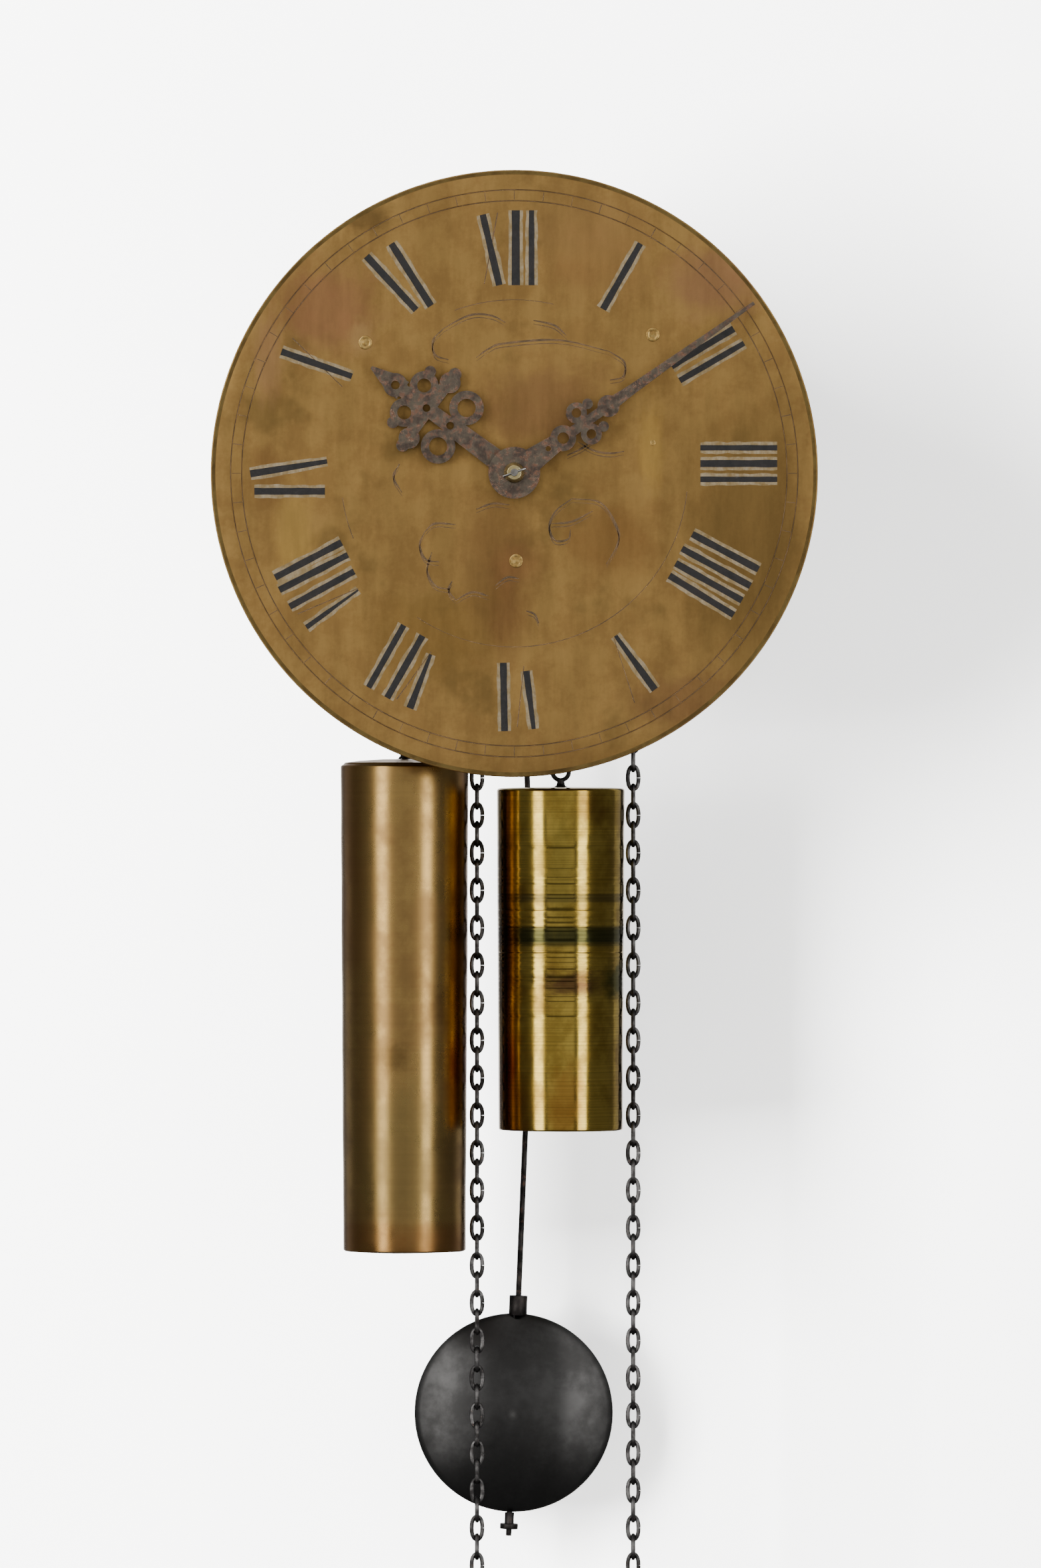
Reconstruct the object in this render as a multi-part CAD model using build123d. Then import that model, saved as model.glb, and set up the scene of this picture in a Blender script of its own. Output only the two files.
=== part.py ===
from build123d import *
import math
import os

# Hook and spike wall clock: a round brass dial in front of a two-train, weight-driven movement.
#
# Lengths are millimetres. X runs to the right as the clock is read, Y runs back into the wall and
# Z runs up. The wall is the plane y = 0, and the origin is the middle of the hoop's wall face.
# The clock is laid out about its dial centre, and every piece is moved down by HOOP_ABOVE_DIAL
# when it is written.

# Driving dimensions: the whole clock
HOOP_ABOVE_DIAL = 73.0
DIAL_FRONT_Y = -140.0
DIAL_DIAMETER = 254.0
DIAL_THICKNESS = 2.0
MOTION_WORK_SPACE = 24.0
PLATE_THICKNESS = 3.0
PLATE_GAP = 52.0
PLATE_LEFT_X = -68.0
PLATE_RIGHT_X = 72.0
PLATE_BOTTOM_Z = -64.0
PLATE_TOP_Z = 84.0
PLATE_CORNER_RADIUS = 4.0
PILLAR_INSET = 8.0

# Running gap between a turning arbor and its hole, and gap between pieces that only rest together
PIVOT_CLEARANCE = 0.05
SEAT_GAP = 0.3
PRESS = 0.02

# How far a cutting tool runs past the face that it starts or ends at
OVERRUN = 1.0

# Tooth form, in modules: plain pointed wheel teeth in narrow pinion leaves
WHEEL_ADDENDUM = 0.80
WHEEL_DEDENDUM = 1.05
LEAF_ADDENDUM = 0.50
LEAF_DEDENDUM = 1.10
LEAF_TIP_SHARE = 0.22
LEAF_ROOT_SHARE = 0.44

# Going train: tooth counts, and the places of the arbors
GREAT_TEETH = 60
CENTRE_LEAVES = 10
CENTRE_TEETH = 54
THIRD_LEAVES = 6
THIRD_TEETH = 60
ESCAPE_LEAVES = 6
ESCAPE_TEETH = 30
GOING_X = 35.0
SPROCKET_Z = -12.0
CENTRE_WHEEL_MODULE = 0.70
THIRD_WHEEL_MODULE = 0.55
THIRD_BEARING = 41.2
ESCAPE_RADIUS = 12.0

# Motion work behind the dial
CANNON_TEETH = 24
MINUTE_LEAVES = 6
HOUR_TEETH = 72
CANNON_MODULE = 1.0
MINUTE_BEARING = -45.0

# Striking train
STRIKE_X = -31.2
STRIKE_TEETH = 52
PIN_LEAVES = 8
PIN_TEETH = 36
LOCKING_LEAVES = 6
LOCKING_TEETH = 42
WARNING_LEAVES = 6
WARNING_TEETH = 36
FLY_LEAVES = 6
STRIKE_MODULE = 1.15
PIN_MODULE = 0.90
LOCKING_MODULE = 0.75
WARNING_MODULE = 0.70
PIN_BEARING = -5.0
LOCKING_BEARING = 30.0
WARNING_BEARING = 0.0
FLY_BEARING = -80.0
HAMMER_PIN_COUNT = 6
HAMMER_PIN_CIRCLE = 13.0
HAMMER_PIN_RADIUS = 0.8
COUNT_GEAR_TEETH = 36
REPORT_TEETH = 18
COUNT_MODULE = 0.90
COUNT_WHEEL_RADIUS = 21.0
FLY_RADIUS = 12.0

# Arbors and wheels
ARBOR_RADIUS = 1.7
GREAT_ARBOR_RADIUS = 2.6
PIVOT_RADIUS = 0.6
GREAT_PIVOT_RADIUS = 1.6
WHEEL_THICKNESS = 1.6
GREAT_WHEEL_THICKNESS = 2.2
COLLET_RADIUS = 3.2
COLLET_LENGTH = 2.0
SPOKE_WIDTH = 3.0
RIM_WIDTH = 2.6

# Chain and chain wheels
LINK_PITCH = 7.95
LINK_WIDTH = 6.4
LINK_WIRE = 1.2
LINK_SLACK = 0.15
LINKS_PER_TURN = 12
CHAIN_Y = -85.0
GOING_STRAND_LINKS = 13
STRIKE_STRAND_LINKS = 11
FREE_CHAIN_LINKS = 58
END_RING_RADIUS = 9.0
END_RING_WIRE = 2.2

# Weights
WEIGHT_DIAMETER = 54.2
WEIGHT_TAPER = 1.2
GOING_WEIGHT_LENGTH = 144.7
STRIKE_WEIGHT_LENGTH = 206.0
GOING_WEIGHT_DOME = 0.6
STRIKE_WEIGHT_DOME = 2.4
EYE_WIDTH = 8.8
EYE_WIRE = 1.9
GOING_EYE_LENGTH = 12.0
STRIKE_EYE_LENGTH = 14.0
EYE_STEM = 2.0
EYE_STEM_RADIUS = 1.6

# Pendulum: the rod hangs from a flat spring and has one old bend, hidden behind a weight
PENDULUM_Y = -28.0
ANCHOR_SPREAD = 1.4142
ROD_RADIUS = 1.2
ROD_BEND_X = 7.85
ROD_BEND_DROP = 247.5
BOB_X = -0.34
BOB_DROP = 444.6
ROD_TIP_BELOW_BOB = 52.9
ROD_BEND_RADIUS = 60.0
BOB_DIAMETER = 85.2
BOB_THICKNESS = 24.0
BOB_RIM = 3.0
COLLAR_RADIUS = 3.85
COLLAR_LENGTH = 8.3
COLLAR_CHAMFER = 0.8
COLLAR_SUNK = 0.6
NUT_SLEEVE_RADIUS = 2.0
NUT_SLEEVE_LENGTH = 4.8
NUT_FLANGE_RADIUS = 3.85
NUT_FLANGE_LENGTH = 2.3

# Hoop, spikes and bell
HOOP_HALF_WIDTH = 26.0
HOOP_HEIGHT = 10.0
HOOP_CORNER = 12.0
HOOP_FOOT = 11.0
SPIKE_RADIUS = 3.0
SPIKE_TIP_LENGTH = 14.0
SPIKE_REACH = 5.0
SPIKE_FLANGE = 14.0
SPIKE_Z = -50.0
SPIKE_INSET = 12.0
BELL_RADIUS = 33.0
BELL_HEIGHT = 24.0
BELL_WALL = 2.0
BELL_MOUTH_Z = 91.0

# Planes that the wheels turn in: the rear face of each, as a depth
GREAT_WHEEL_Y = -92.0
STRIKE_WHEEL_Y = -75.8
CENTRE_WHEEL_Y = -102.4
THIRD_WHEEL_Y = -98.4
ESCAPE_WHEEL_Y = -67.0
PIN_WHEEL_Y = -70.4
LOCKING_WHEEL_Y = -98.4
WARNING_WHEEL_Y = -104.4
CANNON_WHEEL_Y = -116.4
HOUR_WHEEL_Y = -122.6
COUNT_WHEEL_Y = -51.6
HAMMER_Y = -68.0

# Values that follow from the ones above
DIAL_REAR_Y = DIAL_FRONT_Y + DIAL_THICKNESS
FRONT_PLATE_FRONT = DIAL_REAR_Y + MOTION_WORK_SPACE
FRONT_PLATE_REAR = FRONT_PLATE_FRONT + PLATE_THICKNESS
BACK_PLATE_FRONT = FRONT_PLATE_REAR + PLATE_GAP
BACK_PLATE_REAR = BACK_PLATE_FRONT + PLATE_THICKNESS
SPROCKET_RADIUS = LINK_PITCH / (2 * math.sin(math.pi / LINKS_PER_TURN))
GOING_DISTANCE = math.hypot(GOING_X, SPROCKET_Z)
GREAT_MODULE = 2 * GOING_DISTANCE / (GREAT_TEETH + CENTRE_LEAVES)
MINUTE_DISTANCE = CANNON_MODULE * CANNON_TEETH
HOUR_MODULE = 2 * MINUTE_DISTANCE / (HOUR_TEETH + MINUTE_LEAVES)


def towards(point, bearing, distance):
    """The point at a distance from another, with the bearing clockwise from straight up."""
    turn = math.radians(bearing)
    return (point[0] + distance * math.sin(turn), point[1] + distance * math.cos(turn))


def bearing_of(start, end):
    """The clockwise bearing of one point from another."""
    return math.degrees(math.atan2(end[0] - start[0], end[1] - start[1]))


def mesh_distance(teeth, leaves, module):
    """Centre distance of a wheel and the pinion that it drives."""
    return module * (teeth + leaves) / 2


CENTRE = (0.0, 0.0)
GOING_GREAT = (GOING_X, SPROCKET_Z)
THIRD = towards(CENTRE, THIRD_BEARING, mesh_distance(CENTRE_TEETH, THIRD_LEAVES, CENTRE_WHEEL_MODULE))
THIRD_TO_ESCAPE = mesh_distance(THIRD_TEETH, ESCAPE_LEAVES, THIRD_WHEEL_MODULE)
ESCAPE = (0.0, THIRD[1] + math.sqrt(THIRD_TO_ESCAPE**2 - THIRD[0] ** 2))
PALLET = (0.0, ESCAPE[1] + ANCHOR_SPREAD * ESCAPE_RADIUS)
MINUTE = towards(CENTRE, MINUTE_BEARING, MINUTE_DISTANCE)
STRIKE_GREAT = (STRIKE_X, SPROCKET_Z)
PIN = towards(STRIKE_GREAT, PIN_BEARING, mesh_distance(STRIKE_TEETH, PIN_LEAVES, STRIKE_MODULE))
LOCKING = towards(PIN, LOCKING_BEARING, mesh_distance(PIN_TEETH, LOCKING_LEAVES, PIN_MODULE))
WARNING = towards(LOCKING, WARNING_BEARING, mesh_distance(LOCKING_TEETH, WARNING_LEAVES, LOCKING_MODULE))
FLY = towards(WARNING, FLY_BEARING, mesh_distance(WARNING_TEETH, FLY_LEAVES, WARNING_MODULE))
COUNT = towards(STRIKE_GREAT, 0.0, mesh_distance(COUNT_GEAR_TEETH, REPORT_TEETH, COUNT_MODULE))
HAMMER = (-56.0, 20.0)
DETENT = (-62.0, 40.0)
DIAL_FEET = ((-62.3, 54.7), (57.9, 58.0), (0.7, -36.6))
PILLARS = tuple(
    (x, z)
    for x in (PLATE_LEFT_X + PILLAR_INSET, PLATE_RIGHT_X - PILLAR_INSET)
    for z in (PLATE_BOTTOM_Z + PILLAR_INSET, PLATE_TOP_Z - PILLAR_INSET)
)

# Frame: plates, pillars, hoop and spikes
PLATE_MIDDLE = ((PLATE_LEFT_X + PLATE_RIGHT_X) / 2, (PLATE_BOTTOM_Z + PLATE_TOP_Z) / 2)
SMALL_ARBORS = (THIRD, ESCAPE, PIN, LOCKING, WARNING, FLY, HAMMER)
PILLAR_SHOULDER = 3.0
PILLAR_STUB = 2.6
PILLAR_BELLY = 4.6
PILLAR_BELLY_LENGTH = 6.0
PILLAR_WAIST = 3.6
PILLAR_RING = 4.4
STUB_LENGTH = 5.0
PIN_RADIUS = 0.75
PIN_LENGTH = 13.0
PIN_GAP = 0.1
FOOT_RADIUS = 3.5
FOOT_STUB = 2.5
FOOT_STUB_REACH = 6.0
FOOT_RIVET = 2.0
SCREW_RADIUS = 1.5
STRAP_THICKNESS = 3.0
SCREW_HEAD = 3.0
SCREW_HEAD_HEIGHT = 2.0
SCREW_SLOT = 0.8
SPIKE_FLANGE_THICKNESS = 3.0
BRIDGE_REACH = 27.0
HOOP_SCREWS = tuple((side * (HOOP_HALF_WIDTH + HOOP_FOOT / 2), HOOP_ABOVE_DIAL) for side in (-1, 1))
SPIKES = tuple((x, SPIKE_Z) for x in (PLATE_LEFT_X + SPIKE_INSET, PLATE_RIGHT_X - SPIKE_INSET))

# Bell and its stand
STAND_SCREWS = ((0.0, 66.0), (0.0, 78.0))
STAND_WIDTH = 10.0
STAND_BAR_Z = 85.2
STAND_BAR_HEIGHT = 3.4
STAND_FOOT_MARGIN = 5.0
BELL_POST_RADIUS = 3.0
BELL_STUD_RADIUS = 2.0
BELL_STUD_REACH = 6.0
BELL_NUT_RADIUS = 4.2
BELL_NUT_HEIGHT = 3.2
BELL_SIDE_STEPS = 7
BELL_SIDE_POWER = 0.75

# Back cock, suspension, and the anchor with its crutch
COCK_SCREWS = ((-22.0, 50.0), (22.0, 50.0))
COCK_FOOT = 10.0
COCK_HALF = 18.0
COCK_THICKNESS = 3.0
COCK_BELOW = 5.0
COCK_ABOVE = 15.0
COCK_BOTTOM = PALLET[1] - COCK_BELOW
COCK_TOP = PALLET[1] + COCK_ABOVE
LUG_WIDTH = 8.0
LUG_HALF_DEPTH = 4.0
LUG_HEIGHT = 9.5
LUG_TOP = PALLET[1] + LUG_HEIGHT
COCK_BAR_REAR = PENDULUM_Y - LUG_HALF_DEPTH
SLIT = 0.5
COCK_PIVOT_DEPTH = 0.8
SPRING_THICKNESS = 0.3
SPRING_WIDTH = 6.0
SPRING_LENGTH = 14.0
HINGE_GAP = 0.15
SPRING_HEAD_HALF_WIDTH = 2.5
SPRING_HEAD_HALF_DEPTH = 3.5
SPRING_HEAD_HEIGHT = 4.5
PALLET_HOLE_RADIUS = 6.0
PALLET_SHAFT = 1.5
ANCHOR_THICKNESS = 3.4
CRUTCH_Y = -45.0
CRUTCH_DROP = 66.0
CRUTCH_THICKNESS = 1.8
CRUTCH_BOSS_RADIUS = 3.4
CRUTCH_BOSS_HALF = 2.5
CRUTCH_WIRE_RADIUS = 1.1
CRUTCH_WIRE_SUNK = 2.0
FORK_WIDTH = 8.0
FORK_BEFORE = 1.5
FORK_BEHIND = 4.5
FORK_SLOT_LENGTH = 9.0
ESCAPE_TOOTH_DEPTH = 2.4
ESCAPE_TOOTH_RAKE = 3.5
ESCAPE_HUB_RADIUS = 4.2
ESCAPE_PINION_LENGTH = 5.0

# Pendulum
SPRING_BLOCK_HEIGHT = 8.0
SPRING_BLOCK_HOLD = 3.0
ROD_LEAN = math.degrees(math.atan2(ROD_BEND_X - BOB_X, BOB_DROP - ROD_BEND_DROP))

# Chain wheels, great wheels and their arbors
BARREL_RADIUS = 13.9
GROOVE_RADIUS = 11.2
GROOVE_HALF = 1.3
FLANGE_INSIDE = LINK_WIDTH / 2 + 2 * SEAT_GAP
FLANGE_THICKNESS = 1.6
STAR_TIP = 17.6
STAR_ROOT = 13.4
RATCHET_TEETH = 12
RATCHET_TIP = 15.4
RATCHET_ROOT = 13.0
RATCHET_RAKE = 3.0
RATCHET_THICKNESS = 1.6
GREAT_HUB_RADIUS = 18.2
CLICK_BEARING = 120.0
CLICK_CIRCLE = 21.0
CLICK_THICKNESS = 1.2
CLICK_LEAN = 75.0
REPORT_SHAFT = 2.0
COUNT_POST_RADIUS = 2.0
COUNT_POST_HEAD = 3.4
COUNT_POST_REACH = 2.4
COUNT_PIPE_RADIUS = 5.0
COUNT_PIPE_OVERLAP = 0.4
COUNT_GEAR_Y = -53.8
COUNT_NOTCH_DEPTH = 3.2
COUNT_NOTCH_SHARE = 0.36
BLOWS_IN_TWELVE_HOURS = 78

# Motion work and hands
CENTRE_FRONT_RADIUS = 1.5
ARBOR_FRONT = -153.2
HAND_PIN_Y = -151.6
HAND_PIN_RADIUS = 0.5
HAND_PIN_HALF_LENGTH = 5.0
HAND_PIN_TILT = math.radians(20)
HAND_COLLET_RADIUS = 4.3
HAND_COLLET_BRIM = 0.7
HAND_COLLET_TOP_RADIUS = 2.9
CENTRE_PINION_LENGTH = 6.0
THIRD_PINION_LENGTH = 4.4
CANNON_RADIUS = 2.7
BRIDGE_PIPE_RADIUS = 3.6
HOUR_PIPE_RADIUS = 4.6
DIAL_HOLE_RADIUS = 6.2
MINUTE_POST_RADIUS = 1.0
MINUTE_POST_FOOT = 3.0
MINUTE_POST_REACH = 3.4
MINUTE_PINION_OVERLAP = 2.0
LIFTING_PIN_CIRCLE = 9.5
LIFTING_PIN_BEARING = -100.0
LIFTING_PIN_REACH = 4.0
HOUR_HUB_RADIUS = 7.5
BRIDGE_WIDTH = 8.0
BRIDGE_FOOT_RADIUS = 3.8
BRIDGE_PIPE_STANDS = 0.6
BRIDGE_BORE_STOPS = 6.0
BRIDGE_FEET = tuple(towards(CENTRE, turn, BRIDGE_REACH) for turn in (45.0, 225.0))
BRIDGE_REAR = -119.9
BRIDGE_THICKNESS = 1.5
HOUR_HAND_Y = -143.0
MINUTE_HAND_Y = -147.1
HAND_THICKNESS = 1.4
HOUR_HAND_BEARING = 306.5
MINUTE_HAND_BEARING = 54.7
HOUR_HAND_LENGTH = 74.3
HOUR_HAND_HUB = 9.6
MINUTE_HAND_LENGTH = 122.6
MINUTE_HAND_HUB = 10.8

# The rest of the striking work
FLY_LENGTH = 22.0
FLY_FRONT = -98.0
FLY_VANE_THICKNESS = 0.6
FLY_PIPE_WALL = 0.8
FLY_VANE_BEARING = 20.0
TRAIN_PINION_LENGTH = 5.0
HAMMER_PIN_REACH = 4.4
DETENT_SHAFT = 1.5
DETENT_PAST_COUNT_WHEEL = 1.0
DETENT_PAST_CANNON = 5.0
DETENT_ARM_ROOT = 2.6
DETENT_ARM_TIP = 1.0
DETENT_FEELER_LEAD = 8.0
HAMMER_HEAD_X = -37.2
HAMMER_HEAD_Z = 95.0
HAMMER_HEAD_RADIUS = 4.4
HAMMER_HEAD_HALF_LENGTH = 4.8
HAMMER_STEM_Y = -70.0
HAMMER_STEM_RADIUS = 1.3
HAMMER_BOSS_RADIUS = 3.2
HAMMER_BOSS_BEYOND = 2.0
HAMMER_TAIL = 7.2
HAMMER_TAIL_ROOT = 1.8
HAMMER_TAIL_TIP = 1.2
HAMMER_TAIL_THICKNESS = 2.4

# Weights and links: corner cuts and edge breaks
LINK_CUT = 1.1
EYE_CUT = 1.8
EYE_STEM_SUNK = 0.4
WEIGHT_EDGE = 0.8


def facing(point, rear_y):
    """A work plane seen from the front: its X is right, its Y is up, and it faces the reader."""
    return Plane(origin=(point[0], rear_y, point[1]), x_dir=(1, 0, 0), z_dir=(0, -1, 0))


def slab(outline, point, rear_y, thickness):
    """A flat plate of an outline, from its rear face forwards."""
    return extrude(facing(point, rear_y) * outline, amount=thickness)


def round_bar(point, rear_y, front_y, radius):
    """A round bar along the depth of the clock."""
    return slab(Circle(radius), point, rear_y, rear_y - front_y)


def upright_turning(profile, x, y):
    """A turned piece on a vertical axis, from (radius, height) points."""
    outline = make_face(Polyline(*[(r, 0, z) for r, z in profile], close=True))
    return Location((x, y, 0)) * revolve(outline, Axis.Z)


def level_turning(profile, point):
    """A turned piece on an axis along the depth, from (radius, depth) points."""
    outline = make_face(Polyline(*[(r, y, 0) for r, y in profile], close=True))
    return Location((point[0], 0, point[1])) * revolve(outline, Axis.Y)


def box_between(x_pair, y_pair, z_pair):
    """A plain block between two corners."""
    size = [abs(b - a) for a, b in (x_pair, y_pair, z_pair)]
    middle = [(a + b) / 2 for a, b in (x_pair, y_pair, z_pair)]
    return Location(middle) * Box(*size)


def polygon(points):
    """A flat outline through points, in the plane's own right and up directions."""
    return make_face(Polyline(*points, close=True))


def on_circle(radius, degrees):
    """A point on a circle, with the angle clockwise from straight up."""
    turn = math.radians(degrees)
    return (radius * math.sin(turn), radius * math.cos(turn))


def wheel_outline(teeth, module, first_tooth):
    """Pointed wheel teeth, one of them centred on the bearing first_tooth."""
    pitch_radius = teeth * module / 2
    points = []
    for tooth in range(teeth):
        turn = first_tooth + 360 * tooth / teeth
        points.append(on_circle(pitch_radius + WHEEL_ADDENDUM * module, turn))
        points.append(on_circle(pitch_radius - WHEEL_DEDENDUM * module, turn + 180 / teeth))
    return polygon(points)


def pinion_outline(leaves, module, first_space):
    """Narrow pinion leaves, with a space between two of them on the bearing first_space."""
    pitch_radius = leaves * module / 2
    half_step = 180 / leaves
    points = []
    for leaf in range(leaves):
        turn = first_space + half_step + 2 * half_step * leaf
        root = pitch_radius - LEAF_DEDENDUM * module
        tip = pitch_radius + LEAF_ADDENDUM * module
        points.append(on_circle(root, turn - LEAF_ROOT_SHARE * half_step))
        points.append(on_circle(tip, turn - LEAF_TIP_SHARE * half_step))
        points.append(on_circle(tip, turn + LEAF_TIP_SHARE * half_step))
        points.append(on_circle(root, turn + LEAF_ROOT_SHARE * half_step))
    return polygon(points)


def window_outline(inner, outer, spokes, index):
    """One opening between two spokes of a wheel, bounded by two arcs."""
    middle = 360 * (index + 0.5) / spokes
    half_outer = 180 / spokes - math.degrees(math.asin(SPOKE_WIDTH / 2 / outer))
    half_inner = 180 / spokes - math.degrees(math.asin(SPOKE_WIDTH / 2 / inner))
    corners = [
        on_circle(outer, middle - half_outer),
        on_circle(outer, middle + half_outer),
        on_circle(inner, middle + half_inner),
        on_circle(inner, middle - half_inner),
    ]
    edges = [
        ThreePointArc(corners[0], on_circle(outer, middle), corners[1]),
        Line(corners[1], corners[2]),
        ThreePointArc(corners[2], on_circle(inner, middle), corners[3]),
        Line(corners[3], corners[0]),
    ]
    return make_face(edges)


def crossed_wheel(teeth, module, first_tooth, thickness, point, rear_y, bore, hub=6.0, spokes=4):
    """A brass wheel with crossings, bored to sit on its arbor."""
    outline = wheel_outline(teeth, module, first_tooth) - Circle(bore)
    inside_rim = teeth * module / 2 - WHEEL_DEDENDUM * module - RIM_WIDTH
    for index in range(spokes):
        outline -= window_outline(hub, inside_rim, spokes, index)
    return slab(outline, point, rear_y, thickness)


def shaft_radius(leaves, module):
    """An arbor no thicker than the roots of the leaves that are cut in it."""
    return min(ARBOR_RADIUS, module * (leaves / 2 - LEAF_DEDENDUM))


def arbor(point, shaft, wheel_rear, pinion=None, pinion_middle=0.0, pinion_length=0.0):
    """A steel arbor with its pinion, a collet behind its wheel, and a pivot in each plate."""
    shoulder = SEAT_GAP
    body = round_bar(point, BACK_PLATE_FRONT - shoulder, FRONT_PLATE_REAR + shoulder, shaft)
    body += round_bar(point, BACK_PLATE_REAR, FRONT_PLATE_FRONT, PIVOT_RADIUS)
    body += round_bar(point, wheel_rear + COLLET_LENGTH, wheel_rear, COLLET_RADIUS)
    if pinion is not None:
        rear = pinion_middle + pinion_length / 2
        body += slab(pinion, point, rear, pinion_length)
    return body


nodes = {}


def keep(name, *solids):
    """Hold the solids of one named piece until it is written."""
    nodes[name] = Compound(label=name, children=[s for group in solids for s in group.solids()])


def ring_outline(half_width, half_length, cut):
    """The eight corners of a long ring with cut corners, clockwise."""
    corners = []
    for side_x, side_z in ((1, 1), (1, -1), (-1, -1), (-1, 1)):
        wide = (side_x * half_width, side_z * (half_length - cut))
        tall = (side_x * (half_width - cut), side_z * half_length)
        corners += [tall, wide] if side_x == side_z else [wide, tall]
    return corners


def wire_loop(inner, outer, wire):
    """A closed loop of wire round an outline, three-sided, with its sharp edge inwards."""
    faces = []
    count = len(inner)
    for i in range(count):
        j = (i + 1) % count
        front = [(x, -wire / 2, z) for x, z in (outer[i], outer[j])]
        back = [(x, wire / 2, z) for x, z in (outer[i], outer[j])]
        edge = [(x, 0, z) for x, z in (inner[i], inner[j])]
        faces.append(Face(Wire.make_polygon([front[0], front[1], back[1], back[0]], close=True)))
        faces.append(Face(Wire.make_polygon([front[1], front[0], edge[0], edge[1]], close=True)))
        faces.append(Face(Wire.make_polygon([back[0], back[1], edge[1], edge[0]], close=True)))
    return Solid(Shell(faces))


def long_link(inner_width, inner_length, wire, cut):
    """One long link, standing upright with its flat side to the front."""
    inner = ring_outline(inner_width / 2, inner_length / 2, cut)
    wider_cut = cut + wire * (2 - math.sqrt(2))
    outer = ring_outline(inner_width / 2 + wire, inner_length / 2 + wire, wider_cut)
    return wire_loop(inner, outer, wire)


def round_loop(radius, wire, sides=12):
    """A round ring of wire."""
    inner = [on_circle(radius - wire / 2, 360 * i / sides) for i in range(sides)]
    outer = [on_circle(radius + wire / 2, 360 * i / sides) for i in range(sides)]
    return wire_loop(inner, outer, wire)


LINK = long_link(LINK_WIDTH - 2 * LINK_WIRE, LINK_PITCH + LINK_SLACK, LINK_WIRE, LINK_CUT)


def link_at(x, z, lean, face_on):
    """One chain link at a place, leaning clockwise, seen face on or edge on."""
    turned = LINK if face_on else Rotation(0, 0, 90) * LINK
    return Location((x, CHAIN_Y, z)) * Rotation(0, lean, 0) * turned


def strand(x, top_z, count, first_face_on):
    """A run of links that hangs straight down."""
    links = []
    for k in range(count):
        face_on = first_face_on if k % 2 == 0 else not first_face_on
        links.append(link_at(x, top_z - LINK_PITCH * (k + 0.5), 0, face_on))
    return links


def wrap(centre):
    """The links that lie over the top half of a chain wheel."""
    links = []
    half = LINKS_PER_TURN // 2
    apothem = SPROCKET_RADIUS * math.cos(math.pi / LINKS_PER_TURN)
    for k in range(half):
        turn = -90 + 180 * (k + 0.5) / half
        x, z = on_circle(apothem, turn)
        links.append(link_at(centre[0] + x, centre[1] + z, turn + 90, k % 2 == 0))
    return links


def bar_between(start, end, radius):
    """A round bar from one point to another."""
    run = Vector(*end) - Vector(*start)
    return extrude(Plane(origin=start, z_dir=run) * Circle(radius), amount=run.length)


def turned_to(outline, bearing):
    """An outline drawn pointing up, turned clockwise to a bearing."""
    return Rotation(0, 0, -bearing) * outline


def plate_blank(rear_y):
    """A clock plate before it is drilled, in its place."""
    width = PLATE_RIGHT_X - PLATE_LEFT_X
    height = PLATE_TOP_Z - PLATE_BOTTOM_Z
    blank = RectangleRounded(width, height, PLATE_CORNER_RADIUS)
    return slab(blank, PLATE_MIDDLE, rear_y, PLATE_THICKNESS)


def drilled(plate, holes, rear_y):
    """The plate with round holes at points, each with its own radius."""
    for point, radius in holes:
        plate -= round_bar(point, rear_y + OVERRUN, rear_y - PLATE_THICKNESS - OVERRUN, radius)
    return plate


def make_plates():
    """Front and back plate, drilled for pillars, arbors, feet, posts and screws."""
    common = [(p, PIVOT_RADIUS + PIVOT_CLEARANCE) for p in SMALL_ARBORS]
    common += [(GOING_GREAT, GREAT_PIVOT_RADIUS + PIVOT_CLEARANCE)]
    common += [(p, PILLAR_SHOULDER + PRESS) for p in PILLARS]
    front = common + [(p, FOOT_STUB + PRESS) for p in DIAL_FEET]
    front += [(CENTRE, CENTRE_FRONT_RADIUS + PIVOT_CLEARANCE)]
    front += [(STRIKE_GREAT, GREAT_PIVOT_RADIUS + PIVOT_CLEARANCE)]
    front += [(DETENT, DETENT_SHAFT + PIVOT_CLEARANCE), (PALLET, PIVOT_RADIUS + PIVOT_CLEARANCE)]
    front += [(MINUTE, MINUTE_POST_RADIUS + PRESS)]
    front += [(p, SCREW_RADIUS + PRESS) for p in BRIDGE_FEET]
    back = common + [(CENTRE, PIVOT_RADIUS + PIVOT_CLEARANCE), (PALLET, PALLET_HOLE_RADIUS)]
    back += [(STRIKE_GREAT, REPORT_SHAFT + PIVOT_CLEARANCE), (DETENT, DETENT_SHAFT + PIVOT_CLEARANCE)]
    back += [(COUNT, COUNT_POST_RADIUS + PRESS)]
    back += [(p, SCREW_RADIUS + PRESS) for p in HOOP_SCREWS + COCK_SCREWS + STAND_SCREWS]
    back += [(p, SPIKE_RADIUS + PRESS) for p in SPIKES]
    keep("front_plate", drilled(plate_blank(FRONT_PLATE_REAR), front, FRONT_PLATE_REAR))
    keep("back_plate", drilled(plate_blank(BACK_PLATE_REAR), back, BACK_PLATE_REAR))


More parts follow.
